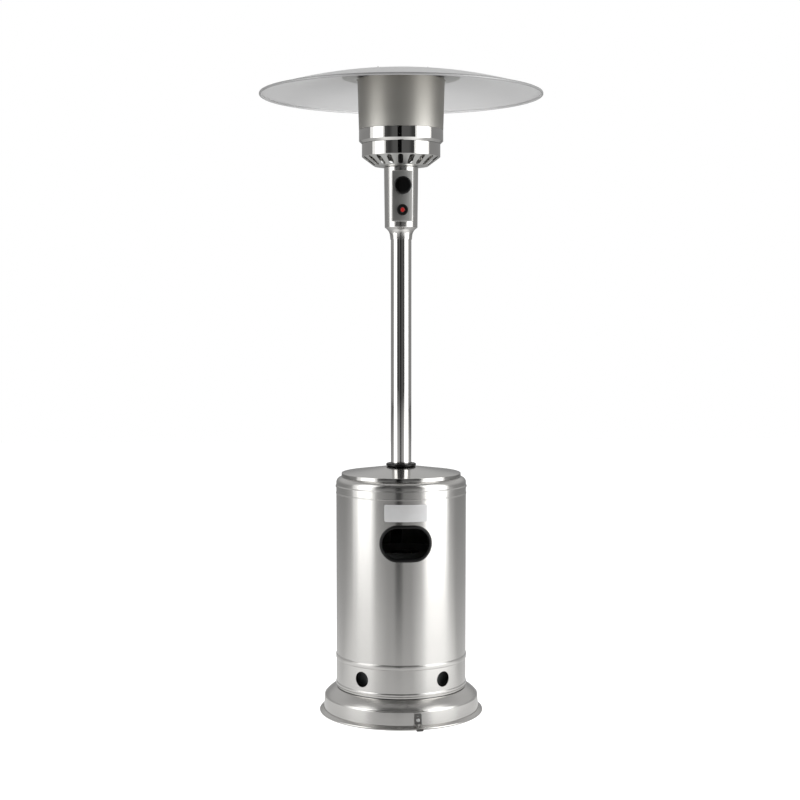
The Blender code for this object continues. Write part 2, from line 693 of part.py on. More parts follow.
def make_bowl(stand):
    """The slotted bowl under the burner. Its slots let the combustion air in."""
    line = [(BOWL_TOP_R, BOWL_TOP_Z), (BOWL_LOW_R, BOWL_LOW_Z), (0.0500, 1.5725), (0.0300, 1.5725)]
    bowl = sheet_ring("burner_bowl", line, STEEL, stand, 0.0010, 40)
    rise = math.atan2(BOWL_TOP_Z - BOWL_LOW_Z, BOWL_TOP_R - BOWL_LOW_R)
    middle = ((BOWL_TOP_R + BOWL_LOW_R) / 2, (BOWL_TOP_Z + BOWL_LOW_Z) / 2)
    cutter = bpy.data.meshes.new("bowl_slots")
    shape = bmesh.new()
    for number in range(SLOTS):
        made = bmesh.ops.create_cube(shape, size=1.0)["verts"]
        bmesh.ops.scale(shape, verts=made, vec=(SLOT_L, SLOT_W, 0.020))
        for vert in made:
            x = vert.co.x * math.cos(rise) - vert.co.z * math.sin(rise) + middle[0]
            z = vert.co.x * math.sin(rise) + vert.co.z * math.cos(rise) + middle[1]
            angle = SLOT_TURN + 2 * math.pi * number / SLOTS
            vert.co = Vector((x * math.cos(angle) - vert.co.y * math.sin(angle),
                              x * math.sin(angle) + vert.co.y * math.cos(angle), z))
    shape.to_mesh(cutter)
    shape.free()
    boolean(bowl, finish_object("bowl_slots", cutter, STEEL, stand), "DIFFERENCE")


def make_burner(stand):
    lower = [(LOWER_COLLAR_R, LOWER_COLLAR_TOP_Z), (LOWER_COLLAR_R, BOWL_TOP_Z + GAP)]
    sheet_ring("lower_collar", lower, POLISHED, stand)
    upper = [(UPPER_COLLAR_R, UPPER_COLLAR_TOP_Z), (UPPER_COLLAR_R, UPPER_COLLAR_LOW_Z)]
    upper.append((LOWER_COLLAR_R + 0.0002, LOWER_COLLAR_TOP_Z + GAP))
    sheet_ring("upper_collar", upper, POLISHED, stand)

    plate_low, plate_high = 1.6284, 1.6300
    plate_r = LOWER_COLLAR_R - SHEET - GAP
    ring = [(plate_r, plate_high), (plate_r, plate_low), (0.0340, plate_low), (0.0340, plate_high)]
    plate = turned("burner_plate", ring, STEEL, stand, closed=True)
    for number in range(8):
        place = {"location": polar(0.0880, math.pi * (2 * number + 1) / 8, plate_low)}
        drill(plate, f"plate_port_{number}", 0.0140, -0.01, 0.01, 8, **place)

    head = [
        (0.0, 1.6620),
        (0.0500, 1.6560),
        (0.0640, 1.6420),
        (0.0640, 1.6303),
        (0.0330, 1.6303),
        (0.0330, 1.6280),
        (0.0125, 1.6180),
        (0.0125, 1.5860),
        (0.0105, 1.5860),
        (0.0105, 1.6190),
        (0.0320, 1.6330),
        (0.0610, 1.6340),
        (0.0610, 1.6400),
        (0.0480, 1.6530),
        (0.0, 1.6590),
    ]
    turned("main_burner", head, CAST_IRON, stand, SMALL_ROUND)


def make_emitter(stand):
    wall = [(EMITTER_TOP_R, EMITTER_TOP_Z), (EMITTER_LOW_R, UPPER_COLLAR_TOP_Z + GAP)]
    sheet_ring("emitter_screen", wall, EMITTER_STEEL, stand, 0.0010)
    cap_low = EMITTER_TOP_Z + GAP
    cap_high = cap_low + 0.0015
    cap = cylinder("emitter_cap", EMITTER_TOP_R, cap_low, cap_high, EMITTER_STEEL, stand, ROUND)
    tabs = [box("cap_tabs_x", (-0.1380, -0.0080, cap_low), (0.1380, 0.0080, cap_high), STEEL, stand)]
    tabs.append(box("cap_tabs_y", (-0.0080, -0.1380, cap_low), (0.0080, 0.1380, cap_high), STEEL, stand))
    for tab in tabs:
        boolean(cap, tab, "UNION")
    shield_top = SHIELD_Z + SHIELD_SHEET
    shield = cylinder("heat_shield", SHIELD_R, SHIELD_Z, shield_top, ALUMINIUM, stand, ROUND)
    reflector = turned("reflector", reflector_profile(), ALUMINIUM, stand)
    for number in range(1, 5):
        angle = math.pi * (2 * number - 1) / 4
        place = {"location": polar(STUD_RING_R, angle)}
        for obj in (cap, shield, reflector):
            drill(obj, f"stud_hole_{number}_{obj.name}", STUD_HOLE_R, 1.80, 1.86, 8, **place)
        make_stud(number, cap_low, cap_high, stand, place)
        make_wing_nut(number, angle, stand)


def make_stud(number, cap_low, cap_high, stand, place):
    """A threaded stud with a nut under the emitter's cap and spacers that hold the shield and the reflector."""
    stud = cylinder(f"emitter_stud_{number}", STUD_R, STUD_LOW_Z, STUD_TOP_Z, STEEL, stand, 8, **place)
    reflector_low = dome_z(STUD_RING_R + 0.006) - SHEET - 0.0010
    swellings = (
        ("nut", 0.0055, 6, STUD_LOW_Z + 0.0010, cap_low - GAP),
        ("low_spacer", 0.0050, 8, cap_high + GAP, SHIELD_Z - GAP),
        ("high_spacer", 0.0050, 8, SHIELD_Z + SHIELD_SHEET + GAP, reflector_low),
    )
    for label, radius, steps, low, high in swellings:
        piece = cylinder(f"stud_{label}_{number}", radius, low, high, STEEL, stand, steps, **place)
        boolean(stud, piece, "UNION")


def make_wing_nut(number, angle, stand):
    low = dome_z(STUD_RING_R - 0.006) + 0.0006
    hub = [(0.0048, low + 0.0056), (0.0062, low), (STUD_R + GAP, low), (STUD_R + GAP, low + 0.0056)]
    place = {"location": polar(STUD_RING_R, angle), "rotation": (0, 0, angle)}
    nut = turned(f"wing_nut_{number}", hub, STEEL, stand, 8, closed=True, **place)
    for side in (-1, 1):
        inner, outer = side * 0.0045, side * 0.0130
        corners = ((min(inner, outer), -0.0009, low + 0.0010), (max(inner, outer), 0.0009, low + 0.0072))
        boolean(nut, box(f"wing_{number}_{side}", *corners, STEEL, stand, **place), "UNION")


def dome_z(radius):
    """Height of the reflector's upper face at a radius."""
    return REFLECTOR_RIM_Z + REFLECTOR_RISE * (1 - (radius / REFLECTOR_R) ** 2)


def reflector_profile():
    """A shallow dish with a rolled edge: the upper face outwards, the hem, then the under face inwards."""
    radii = [REFLECTOR_R * part for part in (0.0, 0.25, 0.45, 0.62, 0.76, 0.88, 0.975)]
    hem_low = REFLECTOR_RIM_Z - REFLECTOR_HEM_H
    top = [(r, dome_z(r)) for r in radii]
    hem = [
        (REFLECTOR_R - 0.0015, REFLECTOR_RIM_Z + 0.0005),
        (REFLECTOR_R, REFLECTOR_RIM_Z - 0.0015),
        (REFLECTOR_R, hem_low + 0.0018),
        (REFLECTOR_R - 0.0018, hem_low),
        (REFLECTOR_R - 0.0048, hem_low),
        (REFLECTOR_R - 0.0060, hem_low + 0.0030),
    ]
    under = [(r, dome_z(r) - SHEET) for r in radii[::-1]]
    return top + hem + under


# Tank housing: all of it lifts up the post


def housing_line():
    """The housing's outer face with its two swaged beads, top to bottom."""
    line = [(HOUSING_R, HOUSING_TOP_Z)]
    for centre, half in ((HIGH_BEAD_Z, 0.0060), (LOW_BEAD_Z, 0.0030)):
        line += [
            (HOUSING_R, centre + half + 0.0020),
            (HOUSING_R + BEAD_H, centre + half),
            (HOUSING_R + BEAD_H, centre - half),
            (HOUSING_R, centre - half - 0.0020),
        ]
    line.append((HOUSING_R, HOUSING_BOTTOM_Z))
    return line


def make_housing(slide):
    housing = sheet_ring("tank_housing", housing_line(), STEEL, slide, HOUSING_SHEET)
    for number in range(4):
        side = VENT_SPREAD if number % 2 else -VENT_SPREAD
        turn = (math.pi / 2, 0, VENT_TURN + side + (number // 2) * math.pi)
        place = {"location": (0, 0, VENT_Z), "rotation": turn}
        drill(housing, f"vent_{number + 1}", VENT_R, 0.15, 0.22, 16, **place)
    opening_w, opening_h = HAND_HOLE_W - 2 * HAND_HOLE_RIM + 0.004, HAND_HOLE_H - 2 * HAND_HOLE_RIM + 0.004
    outline = stadium(opening_w, opening_h)
    loops = [[(x, y, z) for x, z in outline] for y in (-0.22, -0.15)]
    boolean(housing, loft("hand_hole", loops, STEEL, slide, location=(0, 0, HAND_HOLE_Z)), "DIFFERENCE")
    make_hand_hole_trim(slide)
    make_label(slide)


def make_hand_hole_trim(slide):
    """The black plastic moulding round the hand hole, laid on the housing's curve."""
    inner_w, inner_h = HAND_HOLE_W - 2 * HAND_HOLE_RIM, HAND_HOLE_H - 2 * HAND_HOLE_RIM
    seat_r = HOUSING_R + 2 * GAP
    section = [
        (HAND_HOLE_W, HAND_HOLE_H, seat_r),
        (HAND_HOLE_W - 0.003, HAND_HOLE_H - 0.003, seat_r + 0.0030),
        (inner_w + 0.004, inner_h + 0.004, seat_r + 0.0034),
        (inner_w, inner_h, seat_r + 0.0020),
        (inner_w, inner_h, HOUSING_R - 0.0080),
        (inner_w + 0.0028, inner_h + 0.0028, HOUSING_R - 0.0080),
        (inner_w + 0.0028, inner_h + 0.0028, seat_r),
    ]
    loops = [[wrapped(radius, x, z) for x, z in stadium(w, h)] for w, h, radius in section]
    loft("hand_hole_trim", loops, BLACK_PLASTIC, slide, closed=True, location=(0, 0, HAND_HOLE_Z))


def make_label(slide):
    outline = rectangle(LABEL_W, LABEL_H)
    loops = [[wrapped(radius, x, z) for x, z in outline] for radius in (HOUSING_R + GAP, HOUSING_R + GAP + 0.0006)]
    loft("label_plate", loops, ALUMINIUM, slide, location=(0, 0, LABEL_Z))


def make_lid(slide):
    """The rounded top cap, the conical lid on it and the black collar that runs on the post."""
    cap = [(0.1580, 0.6843), (LID_RIM_R, 0.6843), (0.1800, 0.6805), (0.1855, 0.6740)]
    cap += [(HOUSING_R, 0.6660), (HOUSING_R, 0.6600), (HOUSING_R + 0.0010, HOUSING_TOP_Z + GAP)]
    sheet_ring("top_cap", cap, STEEL, slide)

    cone_top_z = LID_RIM_TOP_Z + LID_SLOPE * (LID_RIM_R - LID_HOLE_R)
    line = [(LID_HOLE_R, cone_top_z), (LID_RIM_R - 0.0015, LID_RIM_TOP_Z + 0.0004)]
    line += [(LID_RIM_R, LID_RIM_TOP_Z - 0.0010), (LID_RIM_R, LID_RIM_LOW_Z)]
    sheet_ring("lid", line, STEEL, slide)

    bore = POST_R + 0.0008
    neck_r = LID_HOLE_R - 0.0006
    collar = [
        (COLLAR_R - 0.0035, COLLAR_TOP_Z),
        (COLLAR_R - 0.0008, COLLAR_TOP_Z - 0.0016),
        (COLLAR_R, (COLLAR_TOP_Z + COLLAR_LOW_Z) / 2),
        (COLLAR_R - 0.0008, COLLAR_LOW_Z + 0.0012),
        (COLLAR_R - 0.0025, COLLAR_LOW_Z + 0.0004),
        (neck_r, COLLAR_LOW_Z + 0.0004),
        (neck_r, COLLAR_LOW_Z - 0.0100),
        (bore, COLLAR_LOW_Z - 0.0100),
        (bore, COLLAR_TOP_Z),
    ]
    turned("post_collar", collar, BLACK_PLASTIC, slide, SMALL_ROUND, closed=True)


def main():
    stand = add_empty("stand")
    pan = make_base(stand)
    make_rim_clip(stand, bpy.data.objects["base_cover"])
    make_legs(stand, pan)
    make_post(stand)
    make_bottle(stand)
    make_bottle_valve(stand)
    make_regulator(stand)
    make_hose(stand)
    make_sleeve(stand)
    make_gas_valve(stand)
    make_igniter(stand)
    make_bowl(stand)
    make_burner(stand)
    make_emitter(stand)
    slide = add_empty("housing_slide", parent=stand)
    make_housing(slide)
    make_lid(slide)


clear_scene()
PARTS = new_collection("patio_heater")
CUTTERS = new_collection("cutters")
main()
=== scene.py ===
"""The looks of the patio heater: fine geometry, materials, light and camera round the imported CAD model.

Metres, +Z up, in the CAD model's frame: the origin is on the post's axis at floor level, and the front is -Y.
"""

import json
import math

import bmesh
import bpy
from mathutils import Matrix, Vector

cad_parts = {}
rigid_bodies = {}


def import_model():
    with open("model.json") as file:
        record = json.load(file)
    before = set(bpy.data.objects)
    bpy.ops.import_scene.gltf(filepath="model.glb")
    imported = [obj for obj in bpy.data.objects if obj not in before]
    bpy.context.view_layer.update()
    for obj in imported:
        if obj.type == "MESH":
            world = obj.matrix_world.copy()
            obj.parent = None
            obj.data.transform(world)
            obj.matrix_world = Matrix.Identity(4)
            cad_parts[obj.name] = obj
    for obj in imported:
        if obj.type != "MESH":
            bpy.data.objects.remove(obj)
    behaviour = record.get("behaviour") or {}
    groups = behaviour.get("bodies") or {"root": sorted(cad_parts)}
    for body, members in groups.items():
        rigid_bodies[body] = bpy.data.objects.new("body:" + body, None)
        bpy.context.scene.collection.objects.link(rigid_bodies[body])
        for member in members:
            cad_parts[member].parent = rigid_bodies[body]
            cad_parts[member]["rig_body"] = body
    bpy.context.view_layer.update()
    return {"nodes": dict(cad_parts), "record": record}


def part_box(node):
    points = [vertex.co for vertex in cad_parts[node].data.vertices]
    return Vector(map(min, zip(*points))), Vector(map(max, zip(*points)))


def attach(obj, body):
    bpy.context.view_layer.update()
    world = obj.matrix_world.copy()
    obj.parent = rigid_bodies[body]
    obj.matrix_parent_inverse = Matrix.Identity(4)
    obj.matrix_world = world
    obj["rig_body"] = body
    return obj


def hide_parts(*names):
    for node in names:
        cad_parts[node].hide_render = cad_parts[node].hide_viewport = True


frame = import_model()
SLOT_OF = {part["node"]: part["material_slot"] for part in frame["record"]["subparts"]}
BODY_OF = {name: node["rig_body"] for name, node in frame["nodes"].items()}


def extent(node):
    """The outer radius of a node that is round about Z, and its lowest and highest z."""
    low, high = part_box(node)
    return high.x, low.z, high.z


# Sizes from the frame. R is a radius and Z a height above the floor, in metres.
FLANGE_R, _, BASE_TOP_Z = extent("base_cover")
SEAM_FLARE = 0.0010
CAP_R, CAP_LOW_Z, CAP_TOP_Z = extent("top_cap")
HOUSING_R = CAP_R - SEAM_FLARE
BEADED_R, HOUSING_LOW_Z, HOUSING_TOP_Z = extent("tank_housing")
BEAD_H = BEADED_R - HOUSING_R
LID_R, LID_LOW_Z, LID_TOP_Z = extent("lid")
COLLAR_R, _, COLLAR_TOP_Z = extent("post_collar")
POST_R, POST_LOW_Z, POST_TOP_Z = extent("post")
SLEEVE_R, SLEEVE_LOW_Z, SLEEVE_TOP_Z = extent("control_sleeve")
PANEL_LOW, PANEL_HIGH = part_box("control_panel")
BOWL_R, BOWL_LOW_Z, BOWL_TOP_Z = extent("burner_bowl")
LOWER_R, LOWER_LOW_Z, LOWER_TOP_Z = extent("lower_collar")
UPPER_R, UPPER_LOW_Z, UPPER_TOP_Z = extent("upper_collar")
EMITTER_R, EMITTER_LOW_Z, EMITTER_TOP_Z = extent("emitter_screen")
SHIELD_R, SHIELD_LOW_Z, SHIELD_TOP_Z = extent("heat_shield")
DISH_R, _, DISH_TOP_Z = extent("reflector")

SHEET = 0.0012
THIN_SHEET = 0.0010
FINE = 160
MEDIUM = 64
SHARP = math.radians(32)
# Turns that lay the Z axis along -Y (to the front), +X and +Y (to the back).
FRONT = Matrix.Rotation(math.pi / 2, 4, "X")
SIDEWAYS = Matrix.Rotation(math.pi / 2, 4, "Y")
BACK = Matrix.Rotation(-math.pi / 2, 4, "X")

# Camera, from where the photograph was taken.
VIEW_AZIMUTH = math.radians(-4.2)
VIEW_PITCH = math.radians(3.4)
VIEW_DISTANCE = 4.374
VIEW_HEIGHT = 1.165
LENS = 68.2
SHIFT_X = -0.0014

# Studio levels: the room's greys by direction, and the floor's glow by distance in parts of FLOOR_REACH.
ROOM_GREY = 0.30
SKY_GREY = 0.56
ZENITH_GREY = 0.34
FRONT_GREY = 0.112
FLOOR_GLOW = 0.84
FLOOR_PALE = 0.95
FLOOR_REACH = 9.0
FLOOR_FADE = ((0.04, 0.70), (0.11, 0.62), (0.18, 0.50), (0.28, 0.40), (0.55, 0.33), (0.99, 0.14))
# Azimuth in degrees towards each tall soft box, and how much brighter the floor glows that way.
LAMP_GLOWS = ((63, 1.15), (-67, 0.60))

# The dish's rise and its rolled edge, the regulator's x, and the height of the bottle's outlet.
DISH_RISE = 0.0640
HEM = 0.0036
REGULATOR_X = -0.0960
VALVE_Z = 0.4200


# Camera and studio


def around(azimuth, distance, height):
    """A point at an azimuth from the camera's direction, to the right when positive."""
    angle = VIEW_AZIMUTH + azimuth
    return Vector((distance * math.sin(angle), -distance * math.cos(angle), height))


def make_camera():
    data = bpy.data.cameras.new("photo_camera")
    data.lens = LENS
    data.sensor_width = 36.0
    data.shift_x = SHIFT_X
    camera = bpy.data.objects.new("photo_camera", data)
    bpy.context.scene.collection.objects.link(camera)
    camera.location = around(0, VIEW_DISTANCE, VIEW_HEIGHT)
    camera.rotation_euler = (math.pi / 2 - VIEW_PITCH, 0, VIEW_AZIMUTH)
    bpy.context.scene.camera = camera


def area_light(name, location, target, width, height, radiance):
    """A soft box that shines at a point; its radiance is that of its face, with white paper at about 1."""
    data = bpy.data.lights.new(name, "AREA")
    data.shape = "RECTANGLE"
    data.size = width
    data.size_y = height
    data.energy = radiance * math.pi * width * height
    light = bpy.data.objects.new(name, data)
    bpy.context.scene.collection.objects.link(light)
    light.location = location
    light.rotation_euler = (Vector(target) - Vector(location)).to_track_quat("-Z", "Y").to_euler()
    light.visible_camera = False
    return light


def make_lights():
    """Two tall soft boxes, each with a hotter core, and one overhead."""
    low, high, distance = 0.10, 3.90, 2.6
    middle = (low + high) / 2
    # Name, first and last azimuth in degrees, distance, radiance.
    boxes = (
        ("right", 38, 88, distance, 1.0),
        ("right_core", 43, 83, distance - 0.02, 1.6),
        ("left", -91, -45, distance, 0.85),
        ("left_core", -80, -50, distance - 0.02, 1.15),
    )
    for name, start, end, reach, radiance in boxes:
        centre, half = math.radians((start + end) / 2), math.radians((end - start) / 2)
        place = around(centre, reach * math.cos(half), middle)
        width = 2 * reach * math.sin(half)
        area_light("softbox_" + name, place, (0, 0, middle), width, high - low, radiance)
    overhead = area_light("softbox_top", (0, 0.2, 4.2), (0, 0, 0), 3.0, 3.0, 0.8)
    overhead.visible_glossy = False


def make_room():
    """A plain room: dark behind the camera, grey elsewhere, and white where the camera looks."""
    world = bpy.data.worlds.new("studio")
    bpy.context.scene.world = world
    world.use_nodes = True
    tree = world.node_tree
    direction = add(tree, "ShaderNodeTexCoord").outputs["Generated"]
    level = add(tree, "ShaderNodeVectorMath", operation="MULTIPLY")
    tree.links.new(direction, level.inputs[0])
    level.inputs[1].default_value = (1, 1, 0)
    compass = add(tree, "ShaderNodeVectorMath", operation="NORMALIZE")
    tree.links.new(level.outputs["Vector"], compass.inputs[0])
    ahead = add(tree, "ShaderNodeVectorMath", operation="DOT_PRODUCT")
    tree.links.new(compass.outputs["Vector"], ahead.inputs[0])
    ahead.inputs[1].default_value = around(0, 1, 0)
    up = add(tree, "ShaderNodeSeparateXYZ")
    tree.links.new(direction, up.inputs[0])
    sky = ramp(
        tree, up.outputs["Z"],
        ((0.10, ROOM_GREY), (0.36, SKY_GREY), (0.60, SKY_GREY), (0.85, ZENITH_GREY))
    )
    front = ramp(
        tree, ahead.outputs["Value"],
        ((0.60, FRONT_GREY / 2), (0.86, FRONT_GREY / 2), (0.93, FRONT_GREY))
    )
    facing = ramp(tree, ahead.outputs["Value"], ((0.35, 0.0), (0.80, 1.0)))
    seen = add(tree, "ShaderNodeLightPath").outputs["Is Camera Ray"]
    light = mix(tree, seen, mix(tree, facing, sky, front), (1, 1, 1, 1))
    tree.links.new(light, tree.nodes["Background"].inputs["Color"])


def plane(name, corners):
    mesh = bpy.data.meshes.new(name)
    mesh.from_pydata(corners, [], [range(len(corners))])
    obj = bpy.data.objects.new(name, mesh)
    bpy.context.scene.collection.objects.link(obj)
    return obj


def make_floor():
    """A pale floor with a soft shadow; the glow that other rays see fades with distance."""
    half, drop = 9.0, 0.0006
    floor = plane(
        "floor",
        [(-half, -half, -drop), (half, -half, -drop), (half, half, -drop), (-half, half, -drop)]
    )
    mat, tree, shader = new_material("pale_floor")
    shader.inputs["Base Color"].default_value = (0.80, 0.80, 0.80, 1)
    shader.inputs["Roughness"].default_value = 0.9
    shader.inputs["Specular IOR Level"].default_value = 0.0
    shader.inputs["Emission Color"].default_value = (1, 1, 1, 1)
    shader.inputs["Emission Strength"].default_value = FLOOR_GLOW
    away = add(tree, "ShaderNodeVectorMath", operation="LENGTH")
    tree.links.new(position(tree), away.inputs[0])
    reach = math_node(tree, "DIVIDE", away.outputs["Value"], FLOOR_REACH)
    path = add(tree, "ShaderNodeLightPath").outputs
    glow = add(tree, "ShaderNodeEmission")
    fade = mix(tree, path["Is Diffuse Ray"], ramp(tree, reach, FLOOR_FADE), (FLOOR_PALE,) * 3 + (1,))
    tree.links.new(fade, glow.inputs["Color"])
    tree.links.new(lamp_glow(tree, reach), glow.inputs["Strength"])
    chosen = add(tree, "ShaderNodeMixShader")
    tree.links.new(path["Is Camera Ray"], chosen.inputs[0])
    tree.links.new(glow.outputs[0], chosen.inputs[1])
    tree.links.new(shader.outputs[0], chosen.inputs[2])
    tree.links.new(chosen.outputs[0], tree.nodes["Material Output"].inputs["Surface"])
    floor.data.materials.append(mat)


def lamp_glow(tree, reach):
    """How much brighter the floor is towards each of the two tall soft boxes."""
    level = 1.0
    under_lamps = ramp(tree, reach, ((0.035, 0.10), (0.09, 1.0)))
    for azimuth, gain in LAMP_GLOWS:
        away = add(tree, "ShaderNodeVectorMath", operation="NORMALIZE")
        tree.links.new(position(tree), away.inputs[0])
        towards = add(tree, "ShaderNodeVectorMath", operation="DOT_PRODUCT")
        tree.links.new(away.outputs["Vector"], towards.inputs[0])
        towards.inputs[1].default_value = around(math.radians(azimuth), 1, 0)
        near = ramp(tree, towards.outputs["Value"], ((0.70, 0.0), (0.93, 1.0)))
        lit = math_node(tree, "MULTIPLY", math_node(tree, "MULTIPLY", near, gain), under_lamps)
        level = math_node(tree, "ADD", lit, level)
    return level


def make_black_card():
    """The dark strip of room and floor straight behind the camera, seen only in polished metal."""
    near, far, top = 1.5, 5.2, 3.2
    near_left, left = (around(math.radians(-9.6), reach, 0.0) for reach in (near, far))
    near_right, right = (around(math.radians(1.8), reach, 0.0) for reach in (near, far))
    up = Vector((0, 0, top))
    cards = [plane("black_card", [left, right, right + up, left + up])]
    cards.append(plane("black_mat", [near_left, near_right, right, left]))
    mat, _, shader = new_material("black_card")
    shader.inputs["Base Color"].default_value = (0.004, 0.004, 0.004, 1)
    shader.inputs["Specular IOR Level"].default_value = 0.0
    for card in cards:
        card.data.materials.append(mat)
        card.visible_camera = False
        card.visible_diffuse = False
        card.visible_shadow = False


# Material nodes


def add(tree, kind, **settings):
    node = tree.nodes.new(kind)
    for name, value in settings.items():
        setattr(node, name, value)
    return node


def new_material(name):
    mat = bpy.data.materials.new(name)
    mat.use_nodes = True
    return mat, mat.node_tree, mat.node_tree.nodes["Principled BSDF"]


def feed(tree, socket, value):
    """A node's output is linked to the socket; anything else becomes its value."""
    if isinstance(value, bpy.types.NodeSocket):
        tree.links.new(value, socket)
    else:
        socket.default_value = value


def ramp(tree, factor, stops):
    """Grey levels or colours along a factor."""
    node = add(tree, "ShaderNodeValToRGB")
    tree.links.new(factor, node.inputs["Fac"])
    elements = node.color_ramp.elements
    while len(elements) < len(stops):
        elements.new(0.5)
    for element, (place, level) in zip(elements, stops):
        element.position = place
        element.color = (*level, 1) if isinstance(level, tuple) else (level, level, level, 1)
    return node.outputs["Color"]


def mix(tree, factor, one, two):
    node = add(tree, "ShaderNodeMix", data_type="RGBA")
    feed(tree, node.inputs[0], factor)
    feed(tree, node.inputs[6], one)
    feed(tree, node.inputs[7], two)
    return node.outputs[2]


def spread(tree, factor, low, high):
    """A 0..1 factor mapped to a number between low and high."""
    node = add(tree, "ShaderNodeMapRange")
    tree.links.new(factor, node.inputs["Value"])
    node.inputs["To Min"].default_value = low
    node.inputs["To Max"].default_value = high
    return node.outputs["Result"]


def math_node(tree, operation, one, two):
    node = add(tree, "ShaderNodeMath", operation=operation)
    feed(tree, node.inputs[0], one)
    feed(tree, node.inputs[1], two)
    return node.outputs[0]


def position(tree):
    return add(tree, "ShaderNodeTexCoord").outputs["Object"]


def noise(tree, vector, scale, detail=2.0, roughness=0.5):
    node = add(tree, "ShaderNodeTexNoise")
    feed(tree, node.inputs["Vector"], vector)
    node.inputs["Scale"].default_value = scale
    node.inputs["Detail"].default_value = detail
    node.inputs["Roughness"].default_value = roughness
    return node.outputs["Fac"]


def stretched(tree, scale):
    """Object coordinates multiplied by a different number along each axis."""
    node = add(tree, "ShaderNodeVectorMath", operation="MULTIPLY")
    tree.links.new(position(tree), node.inputs[0])
    node.inputs[1].default_value = scale
    return node.outputs["Vector"]


def ring_coordinates(tree, lines, drift):
    """Coordinates whose first part is the same all round Z, so that a noise of them makes brushed rings."""
    parts = add(tree, "ShaderNodeSeparateXYZ")
    tree.links.new(position(tree), parts.inputs[0])
    squares = [math_node(tree, "MULTIPLY", parts.outputs[axis], parts.outputs[axis]) for axis in "XY"]
    radius = math_node(tree, "SQRT", math_node(tree, "ADD", *squares), 0.0)
    across = math_node(tree, "ADD", radius, math_node(tree, "MULTIPLY", parts.outputs["Z"], 1.37))
    joined = add(tree, "ShaderNodeCombineXYZ")
    tree.links.new(math_node(tree, "MULTIPLY", across, lines), joined.inputs["X"])
    tree.links.new(math_node(tree, "MULTIPLY", parts.outputs["X"], drift), joined.inputs["Y"])
    tree.links.new(math_node(tree, "MULTIPLY", parts.outputs["Y"], drift), joined.inputs["Z"])
    return joined.outputs["Vector"]


def bump(tree, shader, height, distance, strength=1.0):
    node = add(tree, "ShaderNodeBump")
    tree.links.new(height, node.inputs["Height"])
    node.inputs["Strength"].default_value = strength
    node.inputs["Distance"].default_value = distance
    tree.links.new(node.outputs["Normal"], shader.inputs["Normal"])


def tint(colour, factor):
    return tuple(min(1.0, c * factor) for c in colour)


def brushed_metal(name, colour, roughness, anisotropy, lines=900.0, grain=0.000006, lay="rings", tone_shift=None):
    """Brushed sheet: fine lines round Z, or along Z when lay is upright, over faint cloudy wear."""
    mat, tree, shader = new_material(name)
    if lay == "rings":
        along = ring_coordinates(tree, lines, 9.0)
    else:
        along = stretched(tree, (lines, lines, 9.0))
    streaks = noise(tree, along, 1.0, 3.0, 0.65)
    clouds = noise(tree, position(tree), 7.0, 4.0, 0.55)
    shade = math_node(
        tree, "ADD", math_node(tree, "MULTIPLY", streaks, 0.5), math_node(tree, "MULTIPLY", clouds, 0.5)
    )
    tone = ramp(tree, shade, ((0.3, tint(colour, 0.97)), (0.7, tint(colour, 1.03))))
    # The tone function, when given, changes the tone; for the emitter it darkens it towards the top with heat
    # tint and painted shade.
    if tone_shift:
        tone = tone_shift(tree, tone)
    tree.links.new(tone, shader.inputs["Base Color"])
    tree.links.new(spread(tree, shade, roughness * 0.92, roughness * 1.08), shader.inputs["Roughness"])
    shader.inputs["Metallic"].default_value = 1.0
    shader.inputs["Anisotropic"].default_value = anisotropy
    shader.inputs["Anisotropic Rotation"].default_value = 0.25 if lay == "rings" else 0.0
    tangent = add(tree, "ShaderNodeTangent", direction_type="RADIAL", axis="Z")
    tree.links.new(tangent.outputs["Tangent"], shader.inputs["Tangent"])
    bump(tree, shader, streaks, grain, 0.4)
    return mat


def heat_tint_and_top_shade(tree, tone):
    """Darker and browner towards the top: partly heat tint where the flame keeps the wall hot, partly painted
    shade where the lamps' reflections fade under the reflector.
    """
    parts = add(tree, "ShaderNodeSeparateXYZ")
    tree.links.new(position(tree), parts.inputs[0])
    height = add(tree, "ShaderNodeMapRange")
    tree.links.new(parts.outputs["Z"], height.inputs["Value"])
    height.inputs["From Min"].default_value = EMITTER_LOW_Z
    height.inputs["From Max"].default_value = EMITTER_TOP_Z
    patches = math_node(tree, "MULTIPLY", noise(tree, position(tree), 14.0, 4.0), 0.3)
    level = math_node(tree, "ADD", height.outputs["Result"], math_node(tree, "SUBTRACT", patches, 0.15))
    # Heat tint and painted shade: the tone darkens with height.
    tint_and_shade = ramp(
        tree, level, ((0.0, (1.0, 1.0, 0.99)), (0.35, (0.80, 0.795, 0.78)), (1.0, (0.60, 0.59, 0.57)))
    )
    node = add(tree, "ShaderNodeMix", data_type="RGBA", blend_type="MULTIPLY")
    feed(tree, node.inputs[0], 1.0)
    feed(tree, node.inputs[6], tone)
    feed(tree, node.inputs[7], tint_and_shade)
    return node.outputs[2]


def polished_metal(name, colour, roughness):
    """Mirror polish with faint drawing waves and smudges."""
    mat, tree, shader = new_material(name)
    smudges = noise(tree, position(tree), 16.0, 5.0, 0.6)
    tree.links.new(
        ramp(tree, smudges, ((0.35, tint(colour, 0.97)), (0.65, colour))), shader.inputs["Base Color"]
    )
    tree.links.new(spread(tree, smudges, roughness * 0.6, roughness * 1.4), shader.inputs["Roughness"])
    shader.inputs["Metallic"].default_value = 1.0
    waves = noise(tree, stretched(tree, (30.0, 30.0, 6.0)), 1.0, 1.0)
    bump(tree, shader, waves, 0.000012, 0.6)
    return mat


